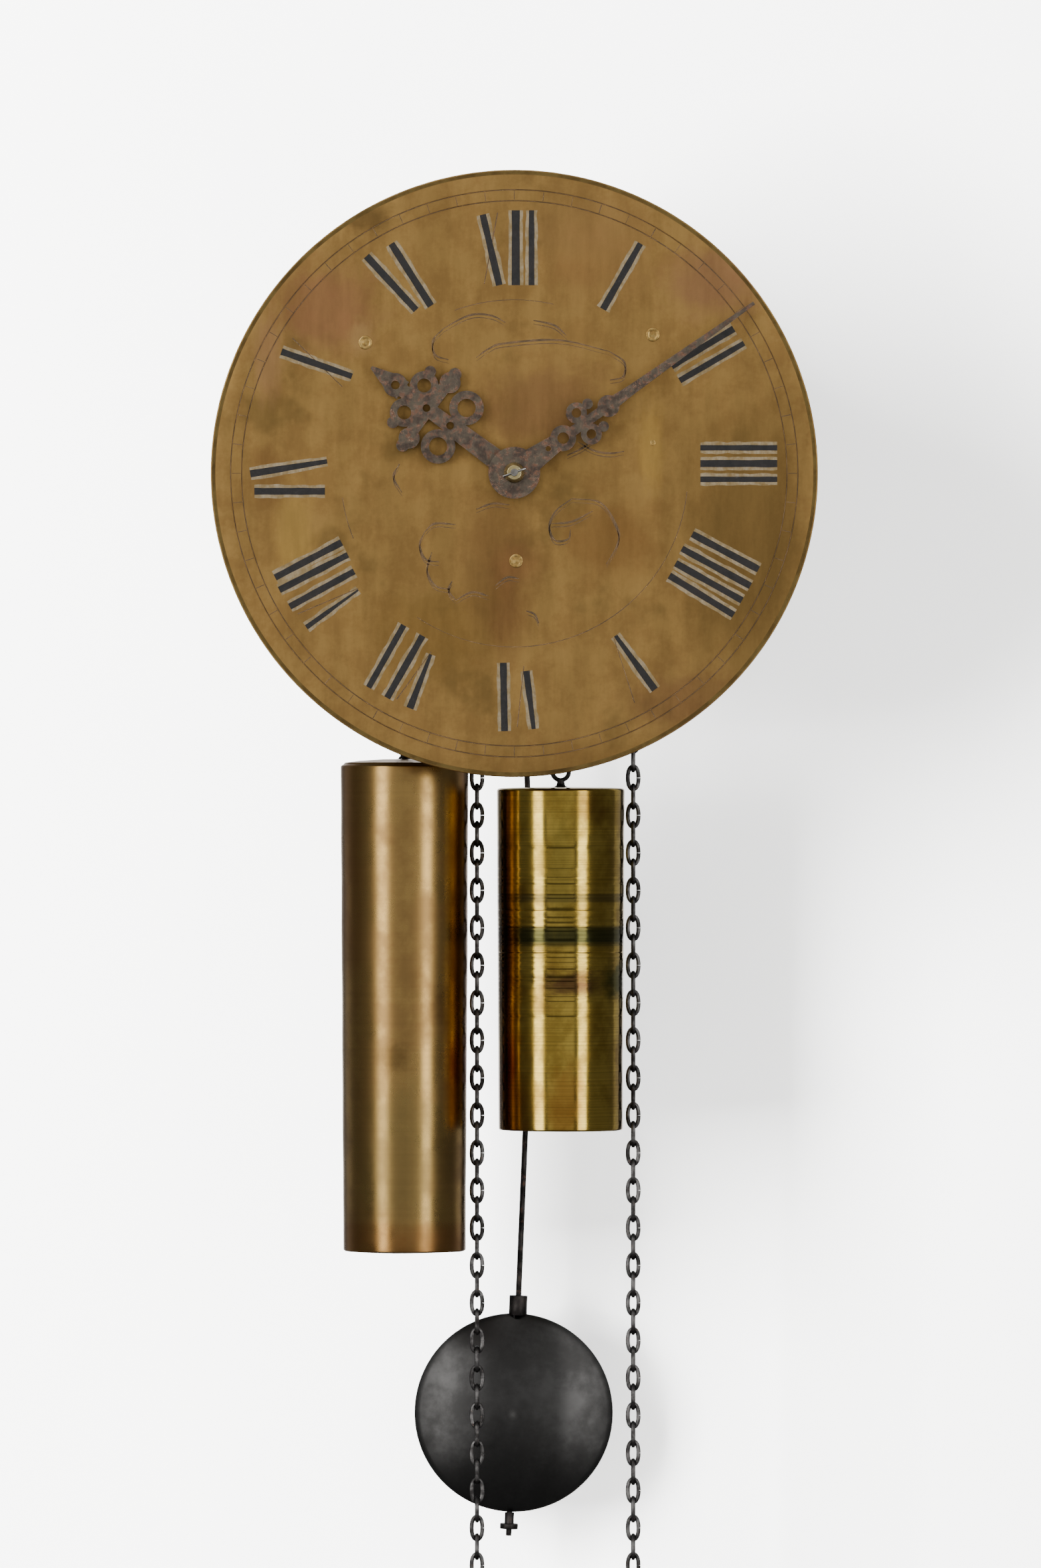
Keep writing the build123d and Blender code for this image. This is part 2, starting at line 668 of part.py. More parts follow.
def make_pillars():
    """Four turned pillars, riveted into the back plate and pinned in front of the front plate."""
    middle_y = (BACK_PLATE_FRONT + FRONT_PLATE_REAR) / 2
    belly = PILLAR_BELLY_LENGTH
    profile = [
        (0, BACK_PLATE_REAR),
        (PILLAR_SHOULDER, BACK_PLATE_REAR),
        (PILLAR_SHOULDER, BACK_PLATE_FRONT),
        (PILLAR_BELLY, BACK_PLATE_FRONT),
        (PILLAR_BELLY, BACK_PLATE_FRONT - belly),
        (PILLAR_WAIST, middle_y + belly),
        (PILLAR_RING, middle_y),
        (PILLAR_WAIST, middle_y - belly),
        (PILLAR_BELLY, FRONT_PLATE_REAR + belly),
        (PILLAR_BELLY, FRONT_PLATE_REAR),
        (PILLAR_SHOULDER, FRONT_PLATE_REAR),
        (PILLAR_SHOULDER, FRONT_PLATE_FRONT),
        (PILLAR_STUB, FRONT_PLATE_FRONT),
        (PILLAR_STUB, FRONT_PLATE_FRONT - STUB_LENGTH),
        (0, FRONT_PLATE_FRONT - STUB_LENGTH),
    ]
    pin_y = FRONT_PLATE_FRONT - PIN_RADIUS - PIN_GAP
    pillars = []
    pins = []
    for x, z in PILLARS:
        ends = ((x - PIN_LENGTH / 2, pin_y, z), (x + PIN_LENGTH / 2, pin_y, z))
        pillars.append(level_turning(profile, (x, z)) - bar_between(*ends, PIN_RADIUS + PRESS))
        pins.append(bar_between(*ends, PIN_RADIUS))
    keep("plate_pillars", *pillars)
    return pins


def make_dial():
    """The dial disc, and its riveted feet, pinned behind the front plate."""
    dial = Circle(DIAL_DIAMETER / 2) - Circle(DIAL_HOLE_RADIUS)
    for x, z in DIAL_FEET:
        dial -= Pos(x, z) * Circle(FOOT_RIVET + PRESS)
    keep("dial_plate", slab(dial, CENTRE, DIAL_REAR_Y, DIAL_THICKNESS))
    stub_end = FRONT_PLATE_REAR + FOOT_STUB_REACH
    pin_y = FRONT_PLATE_REAR + PIN_RADIUS + PIN_GAP
    feet = []
    pins = []
    for x, z in DIAL_FEET:
        foot = round_bar((x, z), DIAL_REAR_Y, DIAL_FRONT_Y, FOOT_RIVET)
        foot += round_bar((x, z), FRONT_PLATE_FRONT, DIAL_REAR_Y, FOOT_RADIUS)
        foot += round_bar((x, z), stub_end, FRONT_PLATE_FRONT, FOOT_STUB)
        ends = ((x, pin_y, z - PIN_LENGTH / 2), (x, pin_y, z + PIN_LENGTH / 2))
        feet.append(foot - bar_between(*ends, PIN_RADIUS + PRESS))
        pins.append(bar_between(*ends, PIN_RADIUS))
    keep("dial_feet", *feet)
    return pins


def screw(point, seat_y, depth, towards_wall=True):
    """A cheese-headed screw: its head on seat_y, its shank running depth beyond it."""
    way = 1 if towards_wall else -1
    top = seat_y + way * SCREW_HEAD_HEIGHT
    slot_bottom = top - way * SCREW_SLOT
    far = seat_y - way * depth
    body = round_bar(point, max(seat_y, top), min(seat_y, top), SCREW_HEAD)
    body += round_bar(point, max(seat_y, far), min(seat_y, far), SCREW_RADIUS)
    slot = slab(Rectangle(2 * SCREW_HEAD + OVERRUN, SCREW_SLOT), point, max(top, slot_bottom), SCREW_SLOT)
    return body - slot


def make_hoop():
    """The iron hanging hoop: a flat strap bent round to the wall, with a foot at each end."""
    depth = -BACK_PLATE_REAR
    outer = Pos(0, -depth / 2) * Rectangle(2 * HOOP_HALF_WIDTH, depth)
    outer = fillet(outer.vertices().group_by(Axis.Y)[-1], HOOP_CORNER)
    inner_half = HOOP_HALF_WIDTH - STRAP_THICKNESS
    inner = Pos(0, -(depth + STRAP_THICKNESS) / 2) * Rectangle(2 * inner_half, depth - STRAP_THICKNESS)
    inner = fillet(inner.vertices().group_by(Axis.Y)[-1], HOOP_CORNER - STRAP_THICKNESS)
    foot_span = 2 * (HOOP_HALF_WIDTH + HOOP_FOOT)
    feet = Pos(0, BACK_PLATE_REAR + STRAP_THICKNESS / 2) * Rectangle(foot_span, STRAP_THICKNESS)
    strap = outer + feet - inner
    base = Plane(origin=(0, 0, HOOP_ABOVE_DIAL - HOOP_HEIGHT / 2))
    hoop = extrude(base * strap, amount=HOOP_HEIGHT)
    for point in HOOP_SCREWS:
        rear = BACK_PLATE_REAR + STRAP_THICKNESS + OVERRUN
        hoop -= round_bar(point, rear, BACK_PLATE_REAR - OVERRUN, SCREW_RADIUS + PRESS)
    keep("hanging_hoop", hoop)


def make_spikes():
    """Two iron spikes, riveted through the back plate, whose points bite into the wall."""
    cone_start = SPIKE_REACH - SPIKE_TIP_LENGTH
    spikes = []
    for point in SPIKES:
        profile = [
            (0, BACK_PLATE_FRONT),
            (SPIKE_RADIUS, BACK_PLATE_FRONT),
            (SPIKE_RADIUS, cone_start),
            (0, SPIKE_REACH),
        ]
        spike = level_turning(profile, point)
        flange = Rectangle(SPIKE_FLANGE, SPIKE_FLANGE)
        rear = BACK_PLATE_REAR + SPIKE_FLANGE_THICKNESS
        spike += slab(flange, point, rear, SPIKE_FLANGE_THICKNESS)
        spikes.append(spike)
    keep("wall_spikes", *spikes)


def bell_side(radius, height):
    """Points up the side of a bell, from its mouth to its crown."""
    points = []
    for k in range(BELL_SIDE_STEPS + 1):
        turn = math.radians(90 * k / BELL_SIDE_STEPS)
        points.append((radius * math.cos(turn) ** BELL_SIDE_POWER, height * math.sin(turn)))
    return points


def make_bell():
    """A brass bell over the plates, on an iron stand that rises inside it."""
    outside = [(r, BELL_MOUTH_Z + z) for r, z in bell_side(BELL_RADIUS, BELL_HEIGHT)]
    inner_side = bell_side(BELL_RADIUS - BELL_WALL, BELL_HEIGHT - BELL_WALL)
    inside = [(r, BELL_MOUTH_Z + z) for r, z in inner_side]
    crown = BELL_STUD_RADIUS + PRESS
    for side in (outside, inside):
        top = side.pop()[1]
        side += [(2 * BELL_POST_RADIUS, top), (crown, top)]
    keep("bell", upright_turning(outside + inside[::-1], 0, CHAIN_Y))
    bell_top = BELL_MOUTH_Z + BELL_HEIGHT
    seat = bell_top - BELL_WALL
    foot_bottom = STAND_SCREWS[0][1] - STAND_FOOT_MARGIN
    rear = BACK_PLATE_REAR + STRAP_THICKNESS
    half = STAND_WIDTH / 2
    bar_top = STAND_BAR_Z + STAND_BAR_HEIGHT
    stand = box_between((-half, half), (BACK_PLATE_REAR, rear), (foot_bottom, bar_top))
    stand += box_between((-half, half), (CHAIN_Y, rear), (STAND_BAR_Z, bar_top))
    stand += Location((0, CHAIN_Y, STAND_BAR_Z + STAND_BAR_HEIGHT / 2)) * Cylinder(half, STAND_BAR_HEIGHT)
    stand += bar_between((0, CHAIN_Y, STAND_BAR_Z), (0, CHAIN_Y, seat), BELL_POST_RADIUS)
    stand += bar_between((0, CHAIN_Y, seat), (0, CHAIN_Y, bell_top + BELL_STUD_REACH), BELL_STUD_RADIUS)
    for point in STAND_SCREWS:
        stand -= round_bar(point, rear + OVERRUN, BACK_PLATE_REAR - OVERRUN, SCREW_RADIUS + PRESS)
    hexagon = RegularPolygon(BELL_NUT_RADIUS, 6) - Circle(BELL_STUD_RADIUS + PRESS)
    nut = extrude(Plane(origin=(0, CHAIN_Y, bell_top)) * hexagon, amount=BELL_NUT_HEIGHT)
    keep("bell_stand", stand, nut)


def spring_block(x, bottom, top):
    """One of the two brass blocks that grip the ends of the suspension spring."""
    half_width = SPRING_HEAD_HALF_WIDTH
    half_depth = SPRING_HEAD_HALF_DEPTH
    return box_between(
        (x - half_width, x + half_width),
        (PENDULUM_Y - half_depth, PENDULUM_Y + half_depth),
        (bottom, top),
    )


def make_back_cock():
    """The brass cock behind the back plate that carries the pallets' rear pivot and the pendulum."""
    foot_outer = COCK_HALF + COCK_FOOT
    foot_inner = COCK_HALF - COCK_THICKNESS
    heights = (COCK_BOTTOM, COCK_TOP)
    rear = BACK_PLATE_REAR
    bar_front = COCK_BAR_REAR - COCK_THICKNESS
    cock = box_between((-COCK_HALF, COCK_HALF), (bar_front, COCK_BAR_REAR), heights)
    for side in (-1, 1):
        cock += box_between((side * foot_inner, side * COCK_HALF), (rear, COCK_BAR_REAR), heights)
        cock += box_between((side * foot_inner, side * foot_outer), (rear, rear + COCK_THICKNESS), heights)
    half = LUG_WIDTH / 2
    lug_rear = PENDULUM_Y + LUG_HALF_DEPTH
    cock += box_between((-half, half), (COCK_BAR_REAR, lug_rear), (PALLET[1], LUG_TOP))
    slit_heights = (PALLET[1] - OVERRUN, LUG_TOP + OVERRUN)
    cock -= box_between((-SLIT / 2, SLIT / 2), (COCK_BAR_REAR, lug_rear + OVERRUN), slit_heights)
    hole_rear = COCK_BAR_REAR - COCK_PIVOT_DEPTH + SEAT_GAP
    cock -= round_bar(PALLET, hole_rear, bar_front - OVERRUN, PIVOT_RADIUS + PIVOT_CLEARANCE)
    for point in COCK_SCREWS:
        screw_rear = rear + COCK_THICKNESS + OVERRUN
        cock -= round_bar(point, screw_rear, rear - OVERRUN, SCREW_RADIUS + PRESS)
    keep("back_cock", cock)
    half_spring = SPRING_THICKNESS / 2
    depths = (PENDULUM_Y - SPRING_WIDTH / 2, PENDULUM_Y + SPRING_WIDTH / 2)
    head = box_between((-half_spring, half_spring), depths, (PALLET[1] + HINGE_GAP, LUG_TOP))
    head += spring_block(0.0, LUG_TOP, LUG_TOP + SPRING_HEAD_HEIGHT)
    keep("suspension_block", head)
    hinge = PALLET[1] - HINGE_GAP
    blade = box_between((-half_spring, half_spring), depths, (hinge - SPRING_LENGTH, hinge))
    keep("suspension_spring", blade)


def rod_x(z):
    """Where the upper run of the pendulum rod lies at a height."""
    return ROD_BEND_X * (PALLET[1] - z) / ROD_BEND_DROP


def make_anchor():
    """The anchor over the escape wheel, and the crutch that leads it by the pendulum rod."""
    outer_side = [(0, 4.6), (6.0, 3.4), (12.4, -2.4), (13.4, -8.2)]
    inner_side = [(9.4, -7.6), (8.4, -4.8), (4.6, -1.6), (0, -2.8)]
    half = outer_side + inner_side
    outline = polygon(half + [(-x, z) for x, z in half[-2:0:-1]]) - Circle(PALLET_SHAFT)
    anchor_rear = ESCAPE_WHEEL_Y - WHEEL_THICKNESS / 2 + ANCHOR_THICKNESS / 2
    keep("anchor", slab(outline, PALLET, anchor_rear, ANCHOR_THICKNESS))
    shoulder = COCK_BAR_REAR - COCK_THICKNESS - SEAT_GAP
    body = round_bar(PALLET, shoulder, FRONT_PLATE_REAR + SEAT_GAP, PALLET_SHAFT)
    body += round_bar(PALLET, COCK_BAR_REAR - COCK_PIVOT_DEPTH, FRONT_PLATE_FRONT, PIVOT_RADIUS)
    low = PALLET[1] - CRUTCH_DROP
    end_x = rod_x(low)
    boss = CRUTCH_BOSS_HALF
    crutch = round_bar(PALLET, CRUTCH_Y + boss, CRUTCH_Y - boss, CRUTCH_BOSS_RADIUS)
    wire_top = (0, CRUTCH_Y, PALLET[1] - CRUTCH_WIRE_SUNK)
    crutch += bar_between(wire_top, (end_x, CRUTCH_Y, low), CRUTCH_WIRE_RADIUS)
    fork_front = CRUTCH_Y - FORK_BEFORE
    fork_rear = PENDULUM_Y + FORK_BEHIND
    fork = Pos(end_x, (fork_front + fork_rear) / 2) * Rectangle(FORK_WIDTH, fork_rear - fork_front)
    slot_width = 2 * ROD_RADIUS + 2 * SEAT_GAP
    slot_middle = fork_rear + OVERRUN - FORK_SLOT_LENGTH / 2
    fork -= Pos(end_x, slot_middle) * Rectangle(slot_width, FORK_SLOT_LENGTH)
    crutch += extrude(Plane(origin=(0, 0, low - CRUTCH_THICKNESS / 2)) * fork, amount=CRUTCH_THICKNESS)
    keep("pallet_arbor", body + crutch)


def make_escape():
    """The escape wheel, with pointed teeth raked one way, and the arbor that the third wheel drives."""
    shaft = shaft_radius(ESCAPE_LEAVES, THIRD_WHEEL_MODULE)
    points = []
    for tooth in range(ESCAPE_TEETH):
        turn = 360 * tooth / ESCAPE_TEETH
        points.append(on_circle(ESCAPE_RADIUS, turn))
        points.append(on_circle(ESCAPE_RADIUS - ESCAPE_TOOTH_DEPTH, turn + ESCAPE_TOOTH_RAKE))
    outline = polygon(points) - Circle(shaft)
    for index in range(4):
        outline -= window_outline(ESCAPE_HUB_RADIUS, ESCAPE_RADIUS - ESCAPE_HUB_RADIUS, 4, index)
    keep("escape_wheel", slab(outline, ESCAPE, ESCAPE_WHEEL_Y, WHEEL_THICKNESS))
    space = bearing_of(ESCAPE, THIRD)
    pinion = pinion_outline(ESCAPE_LEAVES, THIRD_WHEEL_MODULE, space)
    middle = THIRD_WHEEL_Y - WHEEL_THICKNESS / 2
    length = ESCAPE_PINION_LENGTH
    keep("escape_arbor", arbor(ESCAPE, shaft, ESCAPE_WHEEL_Y, pinion, middle, length))


def make_pendulum():
    """The iron rod with its old bend, and its brass block at the end of the suspension spring."""
    block_top = PALLET[1] - HINGE_GAP - SPRING_LENGTH + SPRING_BLOCK_HOLD
    block_bottom = block_top - SPRING_BLOCK_HEIGHT
    block = spring_block(rod_x((block_top + block_bottom) / 2), block_bottom, block_top)
    spring = nodes["suspension_spring"].solids()[0]
    rod_top = block_bottom + SPRING_BLOCK_HOLD
    rod_start = (rod_x(rod_top), PENDULUM_Y, rod_top)
    below = block_bottom - SPRING_BLOCK_HOLD
    rod_hole = bar_between(rod_start, (rod_x(below), PENDULUM_Y, below), ROD_RADIUS + PRESS)
    keep("spring_clamp", block - spring - rod_hole)
    bend = (ROD_BEND_X, PENDULUM_Y, PALLET[1] - ROD_BEND_DROP)
    tip = rod_point(BOB_DROP + ROD_TIP_BELOW_BOB)
    path = FilletPolyline(rod_start, bend, tip, radius=ROD_BEND_RADIUS)
    section = Plane(origin=rod_start, z_dir=path % 0) * Circle(ROD_RADIUS)
    keep("pendulum_rod", sweep(section, path=path))


def rod_point(drop):
    """A point on the rod's lower run, a drop below the suspension."""
    slope = (BOB_X - ROD_BEND_X) / (BOB_DROP - ROD_BEND_DROP)
    return (ROD_BEND_X + slope * (drop - ROD_BEND_DROP), PENDULUM_Y, PALLET[1] - drop)


def on_rod(solid, drop):
    """Place a piece made about the origin on the rod's lower run, leaning with it."""
    return Location(rod_point(drop)) * Rotation(0, ROD_LEAN, 0) * solid


def make_bob():
    """The iron lens bob with its collar on top and its rating nut below."""
    radius = BOB_DIAMETER / 2
    crown = BOB_THICKNESS / 2
    rim = BOB_RIM / 2
    bulge = crown - rim
    face_radius = (radius**2 + bulge**2) / (2 * bulge)
    outline = make_face(
        [
            Line((0, -crown), (0, crown)),
            ThreePointArc(
                (0, crown),
                (radius / 2, crown - face_radius + math.sqrt(face_radius**2 - radius**2 / 4)),
                (radius, rim),
            ),
            Line((radius, rim), (radius, -rim)),
            ThreePointArc(
                (radius, -rim),
                (radius / 2, -crown + face_radius - math.sqrt(face_radius**2 - radius**2 / 4)),
                (0, -crown),
            ),
        ]
    )
    lens = revolve(outline, Axis.Y)
    bore = Cylinder(ROD_RADIUS + SEAT_GAP, BOB_DIAMETER + 2 * OVERRUN)
    keep("pendulum_bob", on_rod(lens - bore, BOB_DROP))
    collar = Cylinder(COLLAR_RADIUS, COLLAR_LENGTH) - Cylinder(ROD_RADIUS + SEAT_GAP, COLLAR_LENGTH)
    collar = chamfer(collar.edges().filter_by(GeomType.CIRCLE).sort_by(Axis.Z)[-1], COLLAR_CHAMFER)
    sunk = Pos(0, 0, radius + COLLAR_LENGTH / 2 - COLLAR_SUNK) * collar
    keep("bob_collar", on_rod(sunk - lens, BOB_DROP))
    nut_top = radius + SEAT_GAP
    nut = Pos(0, 0, -NUT_SLEEVE_LENGTH / 2) * Cylinder(NUT_SLEEVE_RADIUS, NUT_SLEEVE_LENGTH)
    flange_z = -NUT_SLEEVE_LENGTH - NUT_FLANGE_LENGTH / 2
    nut += Pos(0, 0, flange_z) * Cylinder(NUT_FLANGE_RADIUS, NUT_FLANGE_LENGTH)
    nut -= Cylinder(ROD_RADIUS + PIVOT_CLEARANCE, 4 * NUT_SLEEVE_LENGTH)
    keep("rating_nut", on_rod(nut, BOB_DROP + nut_top))


def make_sprocket(name, centre, ratchet_side):
    """A chain wheel: a grooved barrel between two stars, with a ratchet towards its great wheel."""
    star = []
    points = LINKS_PER_TURN // 2
    for point in range(points):
        turn = 360 * point / points
        star += [on_circle(STAR_ROOT, turn - 18), on_circle(STAR_TIP, turn - 7)]
        star += [on_circle(STAR_TIP, turn + 7), on_circle(STAR_ROOT, turn + 18)]
    star = polygon(star)
    outside = FLANGE_INSIDE + FLANGE_THICKNESS
    wheel = round_bar(centre, CHAIN_Y + GROOVE_HALF, CHAIN_Y - GROOVE_HALF, GROOVE_RADIUS)
    for side in (-1, 1):
        inner = CHAIN_Y + side * GROOVE_HALF
        face = CHAIN_Y + side * FLANGE_INSIDE
        wheel += round_bar(centre, max(inner, face), min(inner, face), BARREL_RADIUS)
        wheel += slab(star, centre, max(face, face + side * FLANGE_THICKNESS), FLANGE_THICKNESS)
    saw = []
    for tooth in range(RATCHET_TEETH):
        turn = 360 * tooth / RATCHET_TEETH
        saw += [on_circle(RATCHET_TIP, turn), on_circle(RATCHET_ROOT, turn + RATCHET_RAKE * ratchet_side)]
    start = CHAIN_Y + ratchet_side * outside
    end = start + ratchet_side * RATCHET_THICKNESS
    wheel += slab(polygon(saw), centre, max(start, end), RATCHET_THICKNESS)
    reach = outside + RATCHET_THICKNESS + OVERRUN
    bore = round_bar(centre, CHAIN_Y + reach, CHAIN_Y - reach, GREAT_ARBOR_RADIUS + PRESS)
    keep(name, wheel - bore)


def make_click(name, centre, wheel_face, ratchet_side):
    """The click that drops into the ratchet, on its pivot screw in the great wheel."""
    lever = polygon([(-1.6, 6.5), (1.6, 6.5), (2.4, 0), (2.0, -2.4), (-2.0, -2.4), (-2.4, 0)])
    boss = Circle(2.6)
    beak = polygon([(0.6, 3.0), (4.6, 6.0), (-1.6, 7.6), (-1.6, 3.0)])
    place = on_circle(CLICK_CIRCLE, CLICK_BEARING)
    outline = Pos(*place) * turned_to(lever + boss + beak, CLICK_BEARING - CLICK_LEAN)
    rear = max(wheel_face, wheel_face - ratchet_side * CLICK_THICKNESS)
    keep(name, slab(outline, centre, rear, CLICK_THICKNESS))


def make_going_great():
    """The going great wheel with its chain wheel, which the right-hand weight pulls round."""
    tooth = bearing_of(GOING_GREAT, CENTRE)
    rear = GREAT_WHEEL_Y
    wheel = crossed_wheel(
        GREAT_TEETH, GREAT_MODULE, tooth, GREAT_WHEEL_THICKNESS, GOING_GREAT, rear,
        GREAT_ARBOR_RADIUS + PRESS, hub=GREAT_HUB_RADIUS,
    )
    keep("going_great_wheel", wheel)
    shoulders = (BACK_PLATE_FRONT - SEAT_GAP, FRONT_PLATE_REAR + SEAT_GAP)
    body = round_bar(GOING_GREAT, *shoulders, GREAT_ARBOR_RADIUS)
    body += round_bar(GOING_GREAT, BACK_PLATE_REAR, FRONT_PLATE_FRONT, GREAT_PIVOT_RADIUS)
    front = rear - GREAT_WHEEL_THICKNESS
    body += round_bar(GOING_GREAT, front, front - COLLET_LENGTH, 2 * GREAT_ARBOR_RADIUS)
    keep("going_great_arbor", body)
    make_sprocket("going_chain_wheel", GOING_GREAT, -1)
    make_click("going_click", GOING_GREAT, rear, -1)


def make_strike_great():
    """The striking great wheel with its chain wheel, and the pinion that turns the count wheel."""
    tooth = bearing_of(STRIKE_GREAT, PIN)
    rear = STRIKE_WHEEL_Y
    wheel = crossed_wheel(
        STRIKE_TEETH, STRIKE_MODULE, tooth, GREAT_WHEEL_THICKNESS, STRIKE_GREAT, rear,
        GREAT_ARBOR_RADIUS + PRESS, hub=GREAT_HUB_RADIUS,
    )
    keep("strike_great_wheel", wheel)
    shoulders = (BACK_PLATE_FRONT - SEAT_GAP, FRONT_PLATE_REAR + SEAT_GAP)
    body = round_bar(STRIKE_GREAT, *shoulders, GREAT_ARBOR_RADIUS)
    body += round_bar(STRIKE_GREAT, FRONT_PLATE_REAR + OVERRUN, FRONT_PLATE_FRONT, GREAT_PIVOT_RADIUS)
    body += round_bar(STRIKE_GREAT, rear + COLLET_LENGTH, rear, 2 * GREAT_ARBOR_RADIUS)
    gear_rear = COUNT_GEAR_Y
    body += round_bar(STRIKE_GREAT, gear_rear, BACK_PLATE_FRONT - OVERRUN, REPORT_SHAFT)
    first = bearing_of(STRIKE_GREAT, COUNT)
    report = wheel_outline(REPORT_TEETH, COUNT_MODULE, first)
    body += slab(report, STRIKE_GREAT, gear_rear, WHEEL_THICKNESS)
    keep("strike_great_arbor", body)
    make_sprocket("strike_chain_wheel", STRIKE_GREAT, 1)
    make_click("strike_click", STRIKE_GREAT, rear - GREAT_WHEEL_THICKNESS, 1)


def make_count_wheel():
    """The count wheel, notched for the hours from one to twelve, on a post behind the back plate."""
    unit = 360 / BLOWS_IN_TWELVE_HOURS
    wide = COUNT_NOTCH_SHARE * unit
    top = COUNT_WHEEL_RADIUS + OVERRUN
    floor = COUNT_WHEEL_RADIUS - COUNT_NOTCH_DEPTH
    bore = Circle(COUNT_POST_RADIUS + PIVOT_CLEARANCE)
    disc = Circle(COUNT_WHEEL_RADIUS) - bore
    struck = 0
    for hour in range(1, 13):
        struck += hour
        middle = (struck - 0.5) * unit
        notch = [on_circle(top, middle - wide), on_circle(top, middle + wide)]
        notch += [on_circle(floor, middle + wide), on_circle(floor, middle - wide)]
        disc -= polygon(notch)
    wheel = slab(disc, COUNT, COUNT_WHEEL_Y, WHEEL_THICKNESS)
    opposite = bearing_of(COUNT, STRIKE_GREAT) + 180 / COUNT_GEAR_TEETH
    gear = wheel_outline(COUNT_GEAR_TEETH, COUNT_MODULE, opposite) - bore
    wheel += slab(gear, COUNT, COUNT_GEAR_Y, WHEEL_THICKNESS)
    pipe_length = COUNT_WHEEL_Y - COUNT_GEAR_Y + COUNT_PIPE_OVERLAP
    wheel += slab(Circle(COUNT_PIPE_RADIUS) - bore, COUNT, COUNT_WHEEL_Y, pipe_length)
    keep("count_wheel", wheel)
    post_end = COUNT_WHEEL_Y + COUNT_POST_REACH
    post = round_bar(COUNT, post_end, BACK_PLATE_FRONT, COUNT_POST_RADIUS)
    post += round_bar(COUNT, post_end, COUNT_WHEEL_Y + SEAT_GAP, COUNT_POST_HEAD)
    return post


def make_centre():
    """The centre wheel and arbor, the cannon pipe that carries the minute hand, and the third wheel."""
    shaft = shaft_radius(CENTRE_LEAVES, GREAT_MODULE)
    bore = shaft + PRESS
    tooth = bearing_of(CENTRE, THIRD)
    wheel = crossed_wheel(
        CENTRE_TEETH, CENTRE_WHEEL_MODULE, tooth, WHEEL_THICKNESS,
        CENTRE, CENTRE_WHEEL_Y, bore,
    )
    keep("centre_wheel", wheel)
    pinion = pinion_outline(CENTRE_LEAVES, GREAT_MODULE, bearing_of(CENTRE, GOING_GREAT))
    middle = GREAT_WHEEL_Y - GREAT_WHEEL_THICKNESS / 2
    body = round_bar(CENTRE, BACK_PLATE_FRONT - SEAT_GAP, FRONT_PLATE_REAR + SEAT_GAP, shaft)
    body += round_bar(CENTRE, BACK_PLATE_REAR, FRONT_PLATE_REAR, PIVOT_RADIUS)
    body += round_bar(CENTRE, CENTRE_WHEEL_Y + COLLET_LENGTH, CENTRE_WHEEL_Y, COLLET_RADIUS)
    body += slab(pinion, CENTRE, middle + CENTRE_PINION_LENGTH / 2, CENTRE_PINION_LENGTH)
    body += round_bar(CENTRE, FRONT_PLATE_REAR + SEAT_GAP, ARBOR_FRONT, CENTRE_FRONT_RADIUS)
    reach_x = HAND_PIN_HALF_LENGTH * math.cos(HAND_PIN_TILT)
    reach_z = HAND_PIN_HALF_LENGTH * math.sin(HAND_PIN_TILT)
    pin_ends = ((-reach_x, HAND_PIN_Y, -reach_z), (reach_x, HAND_PIN_Y, reach_z))
    keep("centre_arbor", body - bar_between(*pin_ends, HAND_PIN_RADIUS + PRESS))
    keep("hand_pin", bar_between(*pin_ends, HAND_PIN_RADIUS))
    third_shaft = shaft_radius(THIRD_LEAVES, CENTRE_WHEEL_MODULE)
    third_tooth = bearing_of(THIRD, ESCAPE)
    keep(
        "third_wheel",
        crossed_wheel(
            THIRD_TEETH, THIRD_WHEEL_MODULE, third_tooth, WHEEL_THICKNESS, THIRD, THIRD_WHEEL_Y,
            third_shaft + PRESS,
        ),
    )
    leaves = pinion_outline(THIRD_LEAVES, CENTRE_WHEEL_MODULE, bearing_of(THIRD, CENTRE))
    third_middle = CENTRE_WHEEL_Y - WHEEL_THICKNESS / 2
    length = THIRD_PINION_LENGTH
    keep("third_arbor", arbor(THIRD, third_shaft, THIRD_WHEEL_Y, leaves, third_middle, length))


